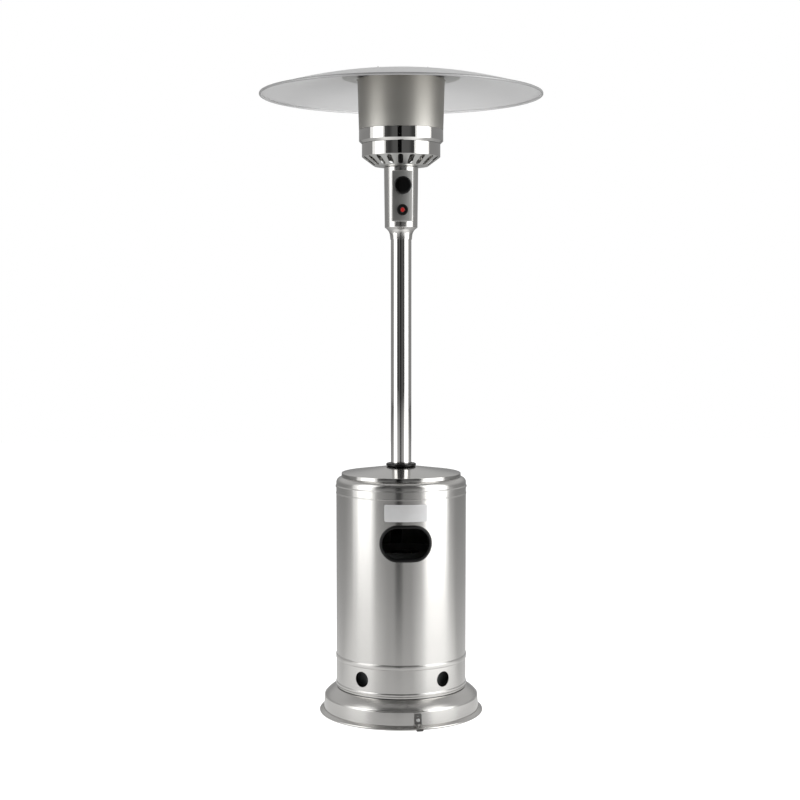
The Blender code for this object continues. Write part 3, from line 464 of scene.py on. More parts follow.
def spun_aluminium(name, colour):
    """Matt spun sheet, pale from oxide, with fine turning rings and painted shade on its rolled hem."""
    mat, tree, shader = new_material(name)
    rings = noise(tree, ring_coordinates(tree, 500.0, 2.0), 1.0, 3.0, 0.6)
    clouds = noise(tree, position(tree), 5.0, 4.0, 0.6)
    shade = math_node(
        tree, "ADD", math_node(tree, "MULTIPLY", rings, 0.4), math_node(tree, "MULTIPLY", clouds, 0.6)
    )
    tone = ramp(tree, shade, ((0.3, tint(colour, 0.96)), (0.7, tint(colour, 1.03))))
    # Painted shade: the rolled hem, the outer 5.2 mm of the dish, takes half the tone.
    away = add(tree, "ShaderNodeVectorMath", operation="LENGTH")
    tree.links.new(stretched(tree, (1, 1, 0)), away.inputs[0])
    hem_shade = math_node(tree, "GREATER_THAN", away.outputs["Value"], DISH_R - 0.0052)
    tree.links.new(mix(tree, hem_shade, tone, (*tint(colour, 0.5), 1)), shader.inputs["Base Color"])
    tree.links.new(spread(tree, shade, 0.36, 0.46), shader.inputs["Roughness"])
    shader.inputs["Metallic"].default_value = 0.35
    bump(tree, shader, rings, 0.00003, 0.5)
    return mat


def satin_metal(name, colour, roughness, grain=0.00002, scale=1400.0, tone_shift=0.08):
    """Metal with an even fine grain and a faint cloudy stain."""
    mat, tree, shader = new_material(name)
    clouds = noise(tree, position(tree), 22.0, 5.0, 0.6)
    grains = noise(tree, position(tree), scale, 2.0)
    stops = ((0.3, tint(colour, 1 - tone_shift)), (0.7, tint(colour, 1 + tone_shift / 2)))
    tree.links.new(ramp(tree, clouds, stops), shader.inputs["Base Color"])
    tree.links.new(spread(tree, clouds, roughness * 0.85, roughness * 1.15), shader.inputs["Roughness"])
    shader.inputs["Metallic"].default_value = 1.0
    bump(tree, shader, grains, grain, 0.5)
    return mat


def moulded_plastic(name, colour, roughness, grain, scale=1500.0, dust=0.02, specular=0.5):
    """Plastic with a fine moulded texture and a little dust in its colour."""
    mat, tree, shader = new_material(name)
    shader.inputs["Specular IOR Level"].default_value = specular
    speckle = noise(tree, position(tree), 60.0, 6.0, 0.7)
    stops = ((0.45, colour), (0.85, tuple(c + dust for c in colour)))
    tree.links.new(ramp(tree, speckle, stops), shader.inputs["Base Color"])
    tree.links.new(spread(tree, speckle, roughness * 0.85, roughness * 1.2), shader.inputs["Roughness"])
    bump(tree, shader, noise(tree, position(tree), scale, 2.0), grain, 0.6)
    return mat


def printed_film(name, colour):
    """Silvered film under a satin varnish, with a faint weave and fingermarks."""
    mat, tree, shader = new_material(name)
    marks = noise(tree, position(tree), 35.0, 5.0, 0.6)
    fibre = noise(tree, stretched(tree, (900.0, 900.0, 60.0)), 1.0, 2.0)
    tree.links.new(
        ramp(tree, marks, ((0.3, tint(colour, 0.97)), (0.7, tint(colour, 1.03)))),
        shader.inputs["Base Color"]
    )
    tree.links.new(spread(tree, marks, 0.42, 0.55), shader.inputs["Roughness"])
    shader.inputs["Metallic"].default_value = 0.35
    bump(tree, shader, fibre, 0.000006, 0.5)
    return mat


def painted(name, colour, roughness, peel):
    """Paint or powder coat with orange peel and slight chalking."""
    mat, tree, shader = new_material(name)
    chalk = noise(tree, position(tree), 12.0, 6.0, 0.65)
    stops = ((0.3, tint(colour, 0.88)), (0.7, tint(colour, 1.06)))
    tree.links.new(ramp(tree, chalk, stops), shader.inputs["Base Color"])
    tree.links.new(spread(tree, chalk, roughness * 0.85, roughness * 1.15), shader.inputs["Roughness"])
    bump(tree, shader, noise(tree, position(tree), 420.0, 2.0), peel, 0.6)
    return mat


def cast_metal(name, colour):
    """Rough casting with rusty patches."""
    mat, tree, shader = new_material(name)
    pits = noise(tree, position(tree), 380.0, 6.0, 0.7)
    patches = noise(tree, position(tree), 24.0, 5.0, 0.65)
    stops = ((0.35, colour), (0.62, tint(colour, 1.5)), (0.85, (0.10, 0.05, 0.03)))
    tree.links.new(ramp(tree, patches, stops), shader.inputs["Base Color"])
    tree.links.new(spread(tree, pits, 0.6, 0.85), shader.inputs["Roughness"])
    shader.inputs["Metallic"].default_value = 0.6
    bump(tree, shader, pits, 0.0004, 0.7)
    return mat


def make_finishes():
    """One material for each of the record's slots."""
    return {
        "brushed_steel": brushed_metal("brushed_steel", (0.63, 0.62, 0.60), 0.25, 0.75),
        "lid_steel": brushed_metal("lid_steel", (0.62, 0.61, 0.59), 0.15, 0.4),
        "sleeve_steel": brushed_metal("sleeve_steel", (0.66, 0.65, 0.63), 0.19, 0.3, lay="upright"),
        "satin_steel": brushed_metal("satin_steel", (0.64, 0.64, 0.62), 0.30, 0.6, lay="upright"),
        "polished_steel": polished_metal("polished_steel", (0.70, 0.69, 0.67), 0.05),
        # The emitter's tone darkens towards the top: heat tint and painted shade.
        "emitter_steel": brushed_metal("emitter_steel", (0.44, 0.43, 0.405), 0.46, 0.1, tone_shift=heat_tint_and_top_shade),
        "reflector_aluminium": spun_aluminium("reflector_aluminium", (0.70, 0.70, 0.70)),
        "fastener_steel": satin_metal("fastener_steel", (0.60, 0.60, 0.59), 0.28),
        "black_plastic": moulded_plastic(
            "black_plastic", (0.003, 0.003, 0.003), 0.30, 0.00003, dust=0.002, specular=0.35
        ),
        "knob_plastic": moulded_plastic(
            "knob_plastic", (0.002, 0.002, 0.002), 0.13, 0.000004, 700.0, dust=0.0003, specular=0.28
        ),
        "red_plastic": moulded_plastic("red_plastic", (0.36, 0.006, 0.005), 0.30, 0.00001, dust=0.006),
        "label_film": printed_film("label_film", (0.60, 0.60, 0.60)),
        # The bottle's own colour is not known; it is made dark grey so that the housing's inside, seen
        # through the vents, stays black: partly painted shade.
        "bottle_paint": painted("bottle_paint", (0.20, 0.21, 0.21), 0.38, 0.00006),
        "grey_paint": painted("grey_paint", (0.30, 0.31, 0.31), 0.40, 0.00005),
        "black_paint": painted("black_paint", (0.018, 0.018, 0.018), 0.42, 0.00005),
        "brass": satin_metal("brass", (0.74, 0.54, 0.24), 0.26, 0.00001, 900.0, 0.15),
        "valve_aluminium": satin_metal("valve_aluminium", (0.62, 0.62, 0.61), 0.42, 0.00008, 500.0, 0.12),
        "cast_iron": cast_metal("cast_iron", (0.045, 0.043, 0.042)),
        "black_rubber": moulded_plastic(
            "black_rubber", (0.012, 0.012, 0.012), 0.60, 0.00008, 900.0, dust=0.01
        ),
    }


# Mesh helpers


def link_mesh(name, shape, matrix=None):
    """An object from a bmesh, smooth but for its real edges."""
    if matrix is not None:
        bmesh.ops.transform(shape, matrix=matrix, verts=shape.verts)
    mesh = bpy.data.meshes.new(name)
    shape.to_mesh(mesh)
    shape.free()
    mesh.shade_smooth()
    mesh.set_sharp_from_angle(angle=SHARP)
    obj = bpy.data.objects.new(name, mesh)
    bpy.context.scene.collection.objects.link(obj)
    return obj


def stand_for(obj, node, finish=None):
    """The piece takes the place, the body and the slot of this CAD node."""
    slot = SLOT_OF[node]
    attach(obj, BODY_OF[node])
    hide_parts(node)
    obj.data.materials.append(FINISHES[finish or slot])
    return obj


def go_with(obj, node, slot):
    """An extra detail that rides with a CAD node's body."""
    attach(obj, BODY_OF[node])
    obj.data.materials.append(FINISHES[slot])
    return obj


def circle(steps):
    """Angles evenly round a full turn."""
    return [2 * math.pi * i / steps for i in range(steps)]


def disc(radius, steps, height=0.0):
    """A round outline of (x, y) points about (0, height)."""
    return [(radius * math.cos(a), height + radius * math.sin(a)) for a in circle(steps)]


def arc(centre, radius, start, end, steps=8):
    """(radius, height) points on an arc, its angles in degrees."""
    angles = [math.radians(start + (end - start) * i / steps) for i in range(steps + 1)]
    return [(centre[0] + radius * math.cos(a), centre[1] + radius * math.sin(a)) for a in angles]


def flowing(points, per=5):
    """A smooth (Catmull-Rom) line through the points, of any dimension."""
    knots = [Vector(p) for p in points]
    knots = [2 * knots[0] - knots[1]] + knots + [2 * knots[-1] - knots[-2]]
    line = []
    for a, b, c, d in zip(knots, knots[1:], knots[2:], knots[3:]):
        for i in range(per):
            t = i / per
            line.append(
                0.5 * (
                    2 * b + (c - a) * t + (2 * a - 5 * b + 4 * c - d) * t**2 + (3 * b - a - 3 * c + d) * t**3
                )
            )
    return [tuple(p) for p in line + [knots[-2]]]


def rounded(outline, radius=0.0006, steps=3, closed=True):
    """The outline with each real corner turned into an arc of that radius, less where its sides are short."""
    made = []
    count = len(outline)
    for i, point in enumerate(outline):
        here = Vector(point)
        before = Vector(outline[i - 1]) - here
        after = Vector(outline[(i + 1) % count]) - here
        fixed = point[0] < 1e-6 or (not closed and i in (0, count - 1))
        turn = 0.0 if fixed else math.pi - before.angle(after)
        if turn < math.radians(14):
            made.append(point)
            continue
        reach = min(radius * math.tan(turn / 2), 0.45 * before.length, 0.45 * after.length)
        start, end = here + reach * before.normalized(), here + reach * after.normalized()
        for step in range(steps + 1):
            t = step / steps
            made.append(tuple((1 - t) ** 2 * start + 2 * t * (1 - t) * here + t * t * end))
    return made


def inside_of(line, distance):
    """The line moved inwards by a sheet's thickness, with mitred corners."""
    points = [Vector(p) for p in line]
    moved = []
    for i, point in enumerate(points):
        before = point - points[i - 1] if i else points[1] - point
        after = points[i + 1] - point if i < len(points) - 1 else before
        normals = [Vector((d.y, -d.x)).normalized() for d in (before, after)]
        middle = (normals[0] + normals[1]).normalized()
        moved.append(tuple(point + middle * distance / middle.dot(normals[0])))
    return moved


def sheet_outline(line, thickness):
    return list(line) + inside_of(line, thickness)[::-1]


def turned(name, outline, steps=FINE, matrix=None):
    """An outline of (radius, height) points turned about Z; it runs down the outer side."""
    shape = bmesh.new()
    angles = [2 * math.pi * i / steps for i in range(steps)]
    rings = []
    for radius, height in outline:
        if radius < 1e-6:
            rings.append([shape.verts.new((0, 0, height))] * steps)
        else:
            rings.append(
                [shape.verts.new((radius * math.cos(a), radius * math.sin(a), height)) for a in angles]
            )
    pairs = list(zip(rings, rings[1:]))
    if outline[0][0] > 1e-6 or outline[-1][0] > 1e-6:
        pairs.append((rings[-1], rings[0]))
    for upper, lower in pairs:
        for i in range(steps):
            j = (i + 1) % steps
            corners = list(dict.fromkeys((upper[i], lower[i], lower[j], upper[j])))
            if len(corners) > 2:
                shape.faces.new(corners)
    return link_mesh(name, shape, matrix)


def prism(name, outline, low, high, matrix=None, edge=0.0, inset_steps=3):
    return link_mesh(name, raised(outline, low, high, edge, inset_steps), matrix)


def raised(outline, low, high, edge=0.0, inset_steps=3):
    """A flat outline of (x, y) points raised from low to high, with softened rims when edge is given."""
    levels = [(low, 0.0), (high, 0.0)]
    if edge:
        angles = [math.pi / 2 * i / inset_steps for i in range(inset_steps + 1)]
        bottom = [(low + edge * (1 - math.sin(a)), edge * (1 - math.cos(a))) for a in reversed(angles)]
        top = [(high - edge * (1 - math.sin(a)), edge * (1 - math.cos(a))) for a in angles]
        levels = bottom + top
    shape = bmesh.new()
    rows = [[shape.verts.new((*p, z)) for p in shrunk(outline, inset)] for z, inset in levels]
    stitch(shape, rows)
    shape.faces.new(rows[0][::-1])
    shape.faces.new(rows[-1])
    return shape


def shrunk(outline, distance):
    """The closed outline, anticlockwise, moved inwards."""
    if not distance:
        return outline
    points = [Vector(p) for p in outline]
    moved = []
    for i, point in enumerate(points):
        before, after = point - points[i - 1], points[(i + 1) % len(points)] - point
        normals = [Vector((-d.y, d.x)).normalized() for d in (before, after)]
        middle = (normals[0] + normals[1]).normalized()
        moved.append(tuple(point + middle * distance / max(0.5, middle.dot(normals[0]))))
    return moved


def stitch(shape, rows, closed=False):
    """Quads between rows of equally many vertices, each row a loop."""
    pairs = list(zip(rows, rows[1:])) + ([(rows[-1], rows[0])] if closed else [])
    for lower, upper in pairs:
        for i in range(len(lower)):
            j = (i + 1) % len(lower)
            shape.faces.new((lower[i], lower[j], upper[j], upper[i]))


def stadium(width, height, steps=16, straight=12):
    """A slot's outline with round ends, as (across, up) points, anticlockwise."""
    radius = height / 2
    reach = width / 2 - radius
    points = []
    for side, start in ((1, -math.pi / 2), (-1, math.pi / 2)):
        for i in range(steps + 1):
            angle = start + math.pi * i / steps
            points.append((side * reach + radius * math.cos(angle), radius * math.sin(angle)))
        for i in range(1, straight):
            points.append((side * reach * (1 - 2 * i / straight), side * radius))
    return points


def soft_rectangle(width, height, radius, steps=6, straight=1):
    """A rectangle with rounded corners, anticlockwise from its lower right corner's start."""
    points = []
    corners = ((1, -1, -90), (1, 1, 0), (-1, 1, 90), (-1, -1, 180))
    for x, y, start in corners:
        centre = (x * (width / 2 - radius), y * (height / 2 - radius))
        points += arc(centre, radius, start, start + 90, steps)
    filled = []
    for i, point in enumerate(points):
        follower = points[(i + 1) % len(points)]
        parts = straight if math.dist(point, follower) > 2 * radius else 1
        filled += [tuple(Vector(point).lerp(Vector(follower), k / parts)) for k in range(parts)]
    return filled


def wrapped(radius, across, up, turn=0.0):
    """A flat (across, up) point laid round a cylinder of that radius, at the housing's front."""
    angle = across / radius + turn
    return (radius * math.sin(angle), -radius * math.cos(angle), up)


def cut(obj, *tools):
    """Takes the tools' shapes out of the piece."""
    for tool in tools:
        modifier = obj.modifiers.new("cut", "BOOLEAN")
        modifier.operation = "DIFFERENCE"
        modifier.solver = "EXACT"
        modifier.object = tool
    bake(obj)
    for tool in tools:
        bpy.data.objects.remove(tool)
    return obj


def bake(obj):
    """Applies the piece's modifiers."""
    graph = bpy.context.evaluated_depsgraph_get()
    mesh = bpy.data.meshes.new_from_object(obj.evaluated_get(graph))
    obj.modifiers.clear()
    obj.data = mesh
    mesh.shade_smooth()
    mesh.set_sharp_from_angle(angle=SHARP)


def even_shine(obj, *bands):
    """Between those heights the turned wall's normals point straight out, so cut-outs leave no facets."""
    mesh = obj.data
    normals = [Vector(corner.vector) for corner in mesh.corner_normals]
    for face in mesh.polygons:
        if not any(low <= face.center.z <= high for low, high in bands):
            continue
        out = Vector((face.center.x, face.center.y, 0)).normalized()
        if abs(face.normal.cross(out).z) > 0.06:
            continue
        level = face.normal.dot(out)
        for loop in face.loop_indices:
            point = mesh.vertices[mesh.loops[loop].vertex_index].co
            radial = Vector((point.x, point.y, 0)).normalized() * level
            normals[loop] = Vector((radial.x, radial.y, face.normal.z)).normalized()
    mesh.normals_split_custom_set([tuple(n) for n in normals])


def tube(name, route, radius, sides=20):
    """A round tube along a route, with flat closed ends."""
    curve = bpy.data.curves.new(name, "CURVE")
    curve.dimensions = "3D"
    curve.bevel_depth = radius
    curve.bevel_resolution = sides // 4
    curve.use_fill_caps = True
    spline = curve.splines.new("POLY")
    spline.points.add(len(route) - 1)
    for point, place in zip(spline.points, route):
        point.co = (*place, 1.0)
    guide = bpy.data.objects.new(name + "_guide", curve)
    bpy.context.scene.collection.objects.link(guide)
    shape = bmesh.new()
    shape.from_mesh(
        bpy.data.meshes.new_from_object(guide.evaluated_get(bpy.context.evaluated_depsgraph_get()))
    )
    bmesh.ops.remove_doubles(shape, verts=shape.verts, dist=0.00001)
    bpy.data.objects.remove(guide)
    return link_mesh(name, shape)


# Base


def make_base():
    """The pressed cover with its creased shoulder and rolled flange."""
    ledge_r, top_r = HOUSING_R - 0.0080, HOUSING_R + 0.0020
    crease_r, crease_z = FLANGE_R - 0.0153, BASE_TOP_Z - 0.0240
    foot_r, foot_z, roll = FLANGE_R - 0.0125, 0.0120, 0.0034
    inner_edge = [(ledge_r - 0.0030, BASE_TOP_Z - 0.0080), (ledge_r - 0.0022, BASE_TOP_Z - 0.0012)]
    rise = [(top_r, BASE_TOP_Z), (top_r + 0.0120, BASE_TOP_Z - 0.0068), (top_r + 0.0235, BASE_TOP_Z - 0.0152)]
    shoulder = flowing(rise + [(crease_r, crease_z)], 4)
    lip = [(crease_r + 0.0002, crease_z - 0.0008), (crease_r - 0.0002, crease_z - 0.0016)]
    lip += [(crease_r - 0.0008, crease_z - 0.0022), (crease_r - 0.0006, crease_z - 0.0030)]
    wall = [
        (crease_r + 0.0003, crease_z - 0.0042), (crease_r + 0.0014, crease_z - 0.0180),
        (foot_r, foot_z + 0.0015)
    ]
    foot = [
        (foot_r + 0.0002, foot_z - 0.0018), (foot_r + 0.0016, foot_z - 0.0022),
        (foot_r + 0.0020, foot_z - 0.0010)
    ]
    wall = lip + flowing(wall, 4)
    curl = arc((FLANGE_R - roll, roll), roll, 75, -200, 14)
    line = inner_edge + [(ledge_r, BASE_TOP_Z)] + shoulder + wall + foot
    back = inside_of(line, SHEET)[::-1]
    outline = rounded(line[:3], 0.0008, closed=False) + line[3:] + curl
    outline += [(foot_r - 0.0004, roll + 0.0020)] + back[2:]
    stand_for(turned("base_shell", outline), "base_cover")


def make_base_inside():
    """The pan under the cover and the weight that lies in it."""
    low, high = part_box("base_pan")
    wall = 0.0025
    pan = [(0, low.z + wall), (high.x - wall - 0.004, low.z + wall), (high.x - wall, low.z + wall + 0.004)]
    pan += [
        (high.x - wall, high.z), (high.x, high.z), (high.x, low.z + 0.005), (high.x - 0.005, low.z),
        (0, low.z)
    ]
    stand_for(turned("stamped_pan", rounded(pan, 0.0010)[::-1], MEDIUM * 2), "base_pan")
    outer, bottom, top = extent("base_weight")
    inner = outer - 0.0330
    weight = [(outer, top), (outer, bottom), (inner, bottom), (inner, top)]
    stand_for(turned("ballast_ring", rounded(weight, 0.0025, 4), MEDIUM * 2), "base_weight")


def clip_direction():
    low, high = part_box("rim_clip_screw")
    middle = (low + high) / 2
    return math.atan2(middle.y, middle.x), middle.z


def make_clip():
    """The bent strap on the flange, with its slotted screw."""
    angle, screw_z = clip_direction()
    top_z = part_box("rim_clip")[1].z
    width, thickness, air = 0.020, 0.0018, 0.0014
    crease_r, crease_z = FLANGE_R - 0.0170, BASE_TOP_Z - 0.0300
    line = [
        (crease_r + 0.0026 + air, top_z - 0.0005),
        (FLANGE_R - 0.0100 + air, 0.0170),
        (FLANGE_R - 0.0070, 0.0145),
        (FLANGE_R + 0.0030, 0.0096),
        (FLANGE_R + 0.0125, 0.0070),
        (FLANGE_R + 0.0134, 0.0012),
    ]
    path = rounded(line, 0.0030, 4, closed=False)
    section = sheet_outline(path, -thickness)
    flat = soft_strap(section, width, 0.0004)
    turn = Matrix.Rotation(angle, 4, "Z")
    strap = link_mesh("flange_clip", flat, turn)
    hole_r = 0.0022
    wall_r = crease_r + 0.003
    across = turn @ Matrix.Translation((wall_r, 0, crease_z - 0.0085)) @ SIDEWAYS
    hole = prism("strap_hole", stadium(2 * hole_r + 0.0001, 2 * hole_r, 10, 2), -0.010, 0.014, across)
    stand_for(cut(strap, hole), "rim_clip", "lid_steel")
    make_clip_screw(angle, screw_z)


def soft_strap(section, width, edge):
    """A bar with that section in XZ, centred on Y, its long edges slightly eased."""
    shape = bmesh.new()
    half = width / 2
    rows = [[shape.verts.new((r, y, z)) for r, z in section] for y in (-half, half)]
    stitch(shape, rows)
    shape.faces.new(rows[0])
    shape.faces.new(rows[1][::-1])
    bmesh.ops.recalc_face_normals(shape, faces=shape.faces)
    rim = [
        e
        for e in shape.edges if abs(abs(e.verts[0].co.y) - half) < 1e-6 and e.verts[0].co.y == e.verts[1].co.y
    ]
    bmesh.ops.bevel(shape, geom=rim, offset=edge, segments=2, affect="EDGES", clamp_overlap=True)
    return shape


def make_clip_screw(angle, screw_z):
    low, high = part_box("rim_clip_screw")
    head_high = max(math.hypot(x, y) for x in (low.x, high.x) for y in (low.y, high.y)) - 0.0006
    head_low = head_high - 0.0026
    head = rounded(
        [
            (0, head_high), (0.0036, head_high - 0.0002), (0.0050, head_low + 0.0010),
            (0.0050, head_low), (0.0020, head_low), (0.0020, head_low - 0.006), (0, head_low - 0.006)
        ],
        0.0005
    )
    turn = Matrix.Rotation(angle, 4, "Z")
    place = turn @ Matrix.Translation((0, 0, screw_z)) @ SIDEWAYS
    screw = turned("clip_screw", head, 32, place)
    slot_place = place @ Matrix.Rotation(math.radians(35), 4, "Z")
    slot_line = soft_rectangle(0.014, 0.0012, 0.0002, 2)
    slot = prism("screw_slot", slot_line, head_high - 0.0012, head_high + 0.002, slot_place)
    stand_for(cut(screw, slot), "rim_clip_screw")


# Housing


def bead(centre, half, height, slope=0.0022, steps=5):
    """A swaged bead's rounded (radius, height) points on the housing's wall, top to bottom."""
    rise = [0.5 - 0.5 * math.cos(math.pi * i / steps) for i in range(steps + 1)]
    top = [(HOUSING_R + height * s, centre + half + slope * (1 - i / steps)) for i, s in enumerate(rise)]
    bottom = [(r, 2 * centre - z) for r, z in top[::-1]]
    return top + bottom


def vent_angles():
    """Azimuths of the four round vents."""
    spread_angle, middle = math.radians(37.75), math.radians(-2.75)
    return [middle + side * spread_angle + back * math.pi for back in (0, 1) for side in (-1, 1)]


def make_housing():
    high_bead, low_bead, fine_bead = 0.1640, 0.0860, 0.6370
    vent_r, vent_z = 0.022, 0.124
    line = [(HOUSING_R, HOUSING_TOP_Z)]
    line += bead(fine_bead, 0.0007, 0.0011, 0.0012, 3)
    line += bead(high_bead, 0.0055, BEAD_H)
    line += bead(low_bead, 0.0024, BEAD_H, 0.0026)
    line.append((HOUSING_R, HOUSING_LOW_Z + 0.0016))
    wall = turned("housing_wall", sheet_outline(line, THIN_SHEET), FINE)
    tools = []
    for number, angle in enumerate(vent_angles()):
        turn = Matrix.Rotation(angle, 4, "Z") @ FRONT
        outline = disc(vent_r, 48, vent_z)
        tools.append(prism(f"vent_tool_{number}", outline, 0.15, 0.22, turn))
    low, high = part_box("hand_hole_trim")
    centre_z = (low.z + high.z) / 2
    opening = [(x, z + centre_z) for x, z in stadium(0.140, high.z - low.z - 0.015)]
    tools.append(prism("hand_hole_tool", opening, 0.15, 0.22, FRONT))
    cut(wall, *tools)
    even_shine(wall, (low_bead + 0.006, high_bead - 0.009), (high_bead + 0.009, fine_bead - 0.003))
    stand_for(wall, "tank_housing")


def make_hand_hole_trim():
    """The moulded rim round the hand hole, laid on the housing's curve."""
    low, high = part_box("hand_hole_trim")
    centre_z, height = (low.z + high.z) / 2, high.z - low.z - 0.003
    width = 0.152
    rim, seat = 0.009, HOUSING_R + 0.0005
    section = [
        (0.0, seat), (0.0004, seat + 0.0016), (0.0016, seat + 0.0030), (0.0034, seat + 0.0036),
        (0.0056, seat + 0.0034)
    ]
    section += [
        (0.0066, seat + 0.0026), (0.0072, seat + 0.0024), (0.0084, seat + 0.0022), (rim, seat + 0.0012)
    ]
    section += [(rim, HOUSING_R - 0.0080), (rim - 0.0016, HOUSING_R - 0.0080), (rim - 0.0016, seat)]
    shape = bmesh.new()
    rows = []
    for inset, radius in section:
        outline = stadium(width - 2 * inset, height - 2 * inset, 24, 16)
        rows.append([shape.verts.new(wrapped(radius, x, z + centre_z)) for x, z in outline])
    stitch(shape, rows, closed=True)
    bmesh.ops.recalc_face_normals(shape, faces=shape.faces)
    stand_for(link_mesh("hand_hole_rim", shape), "hand_hole_trim")


def make_label():
    """A blank plate with eased corners, laid on the housing."""
    low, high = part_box("label_plate")
    width, strips = 0.122, 24
    shape = raised(soft_rectangle(width, high.z - low.z, 0.0045), 0.0003, 0.0009, 0.0002)
    for i in range(1, strips):
        everything = shape.verts[:] + shape.edges[:] + shape.faces[:]
        place = (width * (i / strips - 0.5), 0, 0)
        bmesh.ops.bisect_plane(shape, geom=everything, plane_co=place, plane_no=(1, 0, 0), dist=1e-6)
    for vertex in shape.verts:
        x, y, depth = vertex.co
        vertex.co = wrapped(HOUSING_R + depth, x, y + (low.z + high.z) / 2)
    stand_for(link_mesh("blank_plate", shape), "label_plate")


def make_top():
    """The rounded top cap, the lid and the black collar that runs on the post."""
    shoulder = [(LID_R, CAP_TOP_Z)] + arc((HOUSING_R - 0.0150, CAP_TOP_Z - 0.0165), 0.0150, 78, 0, 9)
    shoulder[1:1] = [(LID_R + 0.0012, CAP_TOP_Z - 0.0003)]
    skirt = [
        (HOUSING_R, CAP_LOW_Z + 0.0056), (CAP_R + 0.0010, CAP_LOW_Z + 0.0030),
        (CAP_R + 0.0010, CAP_LOW_Z)
    ]
    line = [(0.1580, CAP_TOP_Z)] + shoulder + skirt
    stand_for(turned("top_shoulder", sheet_outline(line, SHEET)), "top_cap")

    hole_r = COLLAR_R - 0.0050
    band_z = LID_TOP_Z - 0.138 * (LID_R - hole_r)
    edge = [
        (hole_r, LID_TOP_Z), (LID_R - 0.0030, band_z + 0.0004)
    ] + arc((LID_R - 0.0016, band_z - 0.0016), 0.0016, 82, 0, 5)
    line = edge + [(LID_R, LID_LOW_Z + 0.0004)]
    stand_for(turned("lid_cone", sheet_outline(line, SHEET)), "lid", "lid_steel")

    bore, neck = POST_R + 0.0008, hole_r - 0.0006
    low = LID_TOP_Z + 0.0006
    round_r = (COLLAR_TOP_Z - low) / 2
    outline = [(COLLAR_R - round_r - 0.004, COLLAR_TOP_Z)] + arc(
        (COLLAR_R - round_r, low + round_r), round_r, 90, -90, 10
    )
    outline += [(neck, low), (neck, low - 0.0100), (bore, low - 0.0100), (bore, COLLAR_TOP_Z)]
    stand_for(turned("collar_ring", rounded(outline, 0.0008), MEDIUM * 2), "post_collar")


# Post and control head


def make_post():
    wall = 0.0015
    outline = [
        (POST_R, POST_TOP_Z), (POST_R, POST_LOW_Z), (POST_R - wall, POST_LOW_Z),
        (POST_R - wall, POST_TOP_Z)
    ]
    stand_for(turned("post_tube", rounded(outline, 0.0005), MEDIUM * 2), "post")


def sleeve_foot():
    """The sleeve's concave neck, from its widest line down to the post."""
    steps = ((0.0023, 0.0340), (0.0110, 0.0262), (0.0154, 0.0180), (0.0172, 0.0090))
    neck = [(SLEEVE_R - inward, SLEEVE_LOW_Z + up) for inward, up in steps]
    return neck + [(POST_R + 0.0013, SLEEVE_LOW_Z)]


def make_sleeve():
    wide_r, wide_z = SLEEVE_R - 0.0020, SLEEVE_LOW_Z + 0.0360
    neck = flowing(sleeve_foot(), 5)
    line = [(SLEEVE_R, SLEEVE_TOP_Z), (wide_r, wide_z)] + neck
    line = rounded(line, 0.0014, 4, closed=False)
    stand_for(
        turned("control_tube", sheet_outline(line, THIN_SHEET), MEDIUM * 2), "control_sleeve",
        "sleeve_steel"
    )


def make_panel():
    """The folded control panel that stands proud of the sleeve, slightly bowed from side to side."""
    width, height = PANEL_HIGH.x - PANEL_LOW.x, PANEL_HIGH.z - PANEL_LOW.z
    middle = (PANEL_LOW.z + PANEL_HIGH.z) / 2
    front, depth, bow, strips = -PANEL_LOW.y, 0.024, 0.0034, 20
    shape = raised(soft_rectangle(width, height, 0.0030, 4), 0.0, depth, 0.0022, 5)
    for i in range(1, strips):
        everything = shape.verts[:] + shape.edges[:] + shape.faces[:]
        place = (width * (i / strips - 0.5), 0, 0)
        bmesh.ops.bisect_plane(shape, geom=everything, plane_co=place, plane_no=(1, 0, 0), dist=1e-6)
    for vertex in shape.verts:
        x, y, rise = vertex.co
        vertex.co = (x, -front + depth - rise + bow * (2 * x / width) ** 2 * rise / depth, y + middle)
    tray = link_mesh("panel_tray", shape)
    holes = []
    for name, radius, height in (("spindle", 0.0056, knob_z()), ("igniter", 0.0087, igniter_z())):
        outline = disc(radius, 32, height)
        holes.append(prism(name + "_tool", outline, 0.02, 0.06, FRONT))
    seat_low = SLEEVE_LOW_Z + 0.034
    core = [
        (0, SLEEVE_TOP_Z), (SLEEVE_R + 0.0005, SLEEVE_TOP_Z), (SLEEVE_R - 0.0016, seat_low),
        (0, seat_low)
    ]
    cut(tray, turned("seat_tool", core, MEDIUM * 2), *holes)
    stand_for(tray, "control_panel")


def knob_z():
    low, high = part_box("control_knob")
    return (low.z + high.z) / 2


def igniter_z():
    low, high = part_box("igniter_bezel")
    return (low.z + high.z) / 2


def make_knob():
    """The glossy domed knob, with a fine groove round its skirt, and the spindle it slides on."""
    low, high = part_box("control_knob")
    radius, back, face = high.x, -high.y, -low.y
    place = Matrix.Translation((0, 0, knob_z())) @ FRONT
    dome = [
        (radius * math.sin(math.radians(a)) * 0.93, face - 0.0024 * (1 - math.cos(math.radians(a))))
        for a in range(0, 91, 10)
    ]
    skirt = arc((radius - 0.0022, face - 0.0046), 0.0022, 62, 0, 6)
    outline = dome + skirt + [
        (radius, back + 0.0042), (radius - 0.0005, back + 0.0039), (radius - 0.0005, back + 0.0031),
        (radius, back + 0.0028), (radius, back + 0.0006)
    ]
    outline += [
        (radius - 0.0006, back), (radius - 0.0020, back), (radius - 0.0022, back + 0.0120),
        (0.0068, back + 0.0120), (0.0068, back)
    ]
    outline += [(0.0043, back), (0.0043, face - 0.004), (0, face - 0.004)]
    stand_for(turned("gas_knob", outline, 96, place), "control_knob")
    low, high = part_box("valve_spindle")
    stem = rounded([(0, -low.y), (high.x, -low.y), (high.x, -high.y), (0, -high.y)], 0.0005)
    stand_for(turned("knob_spindle", stem, 32, place), "valve_spindle")


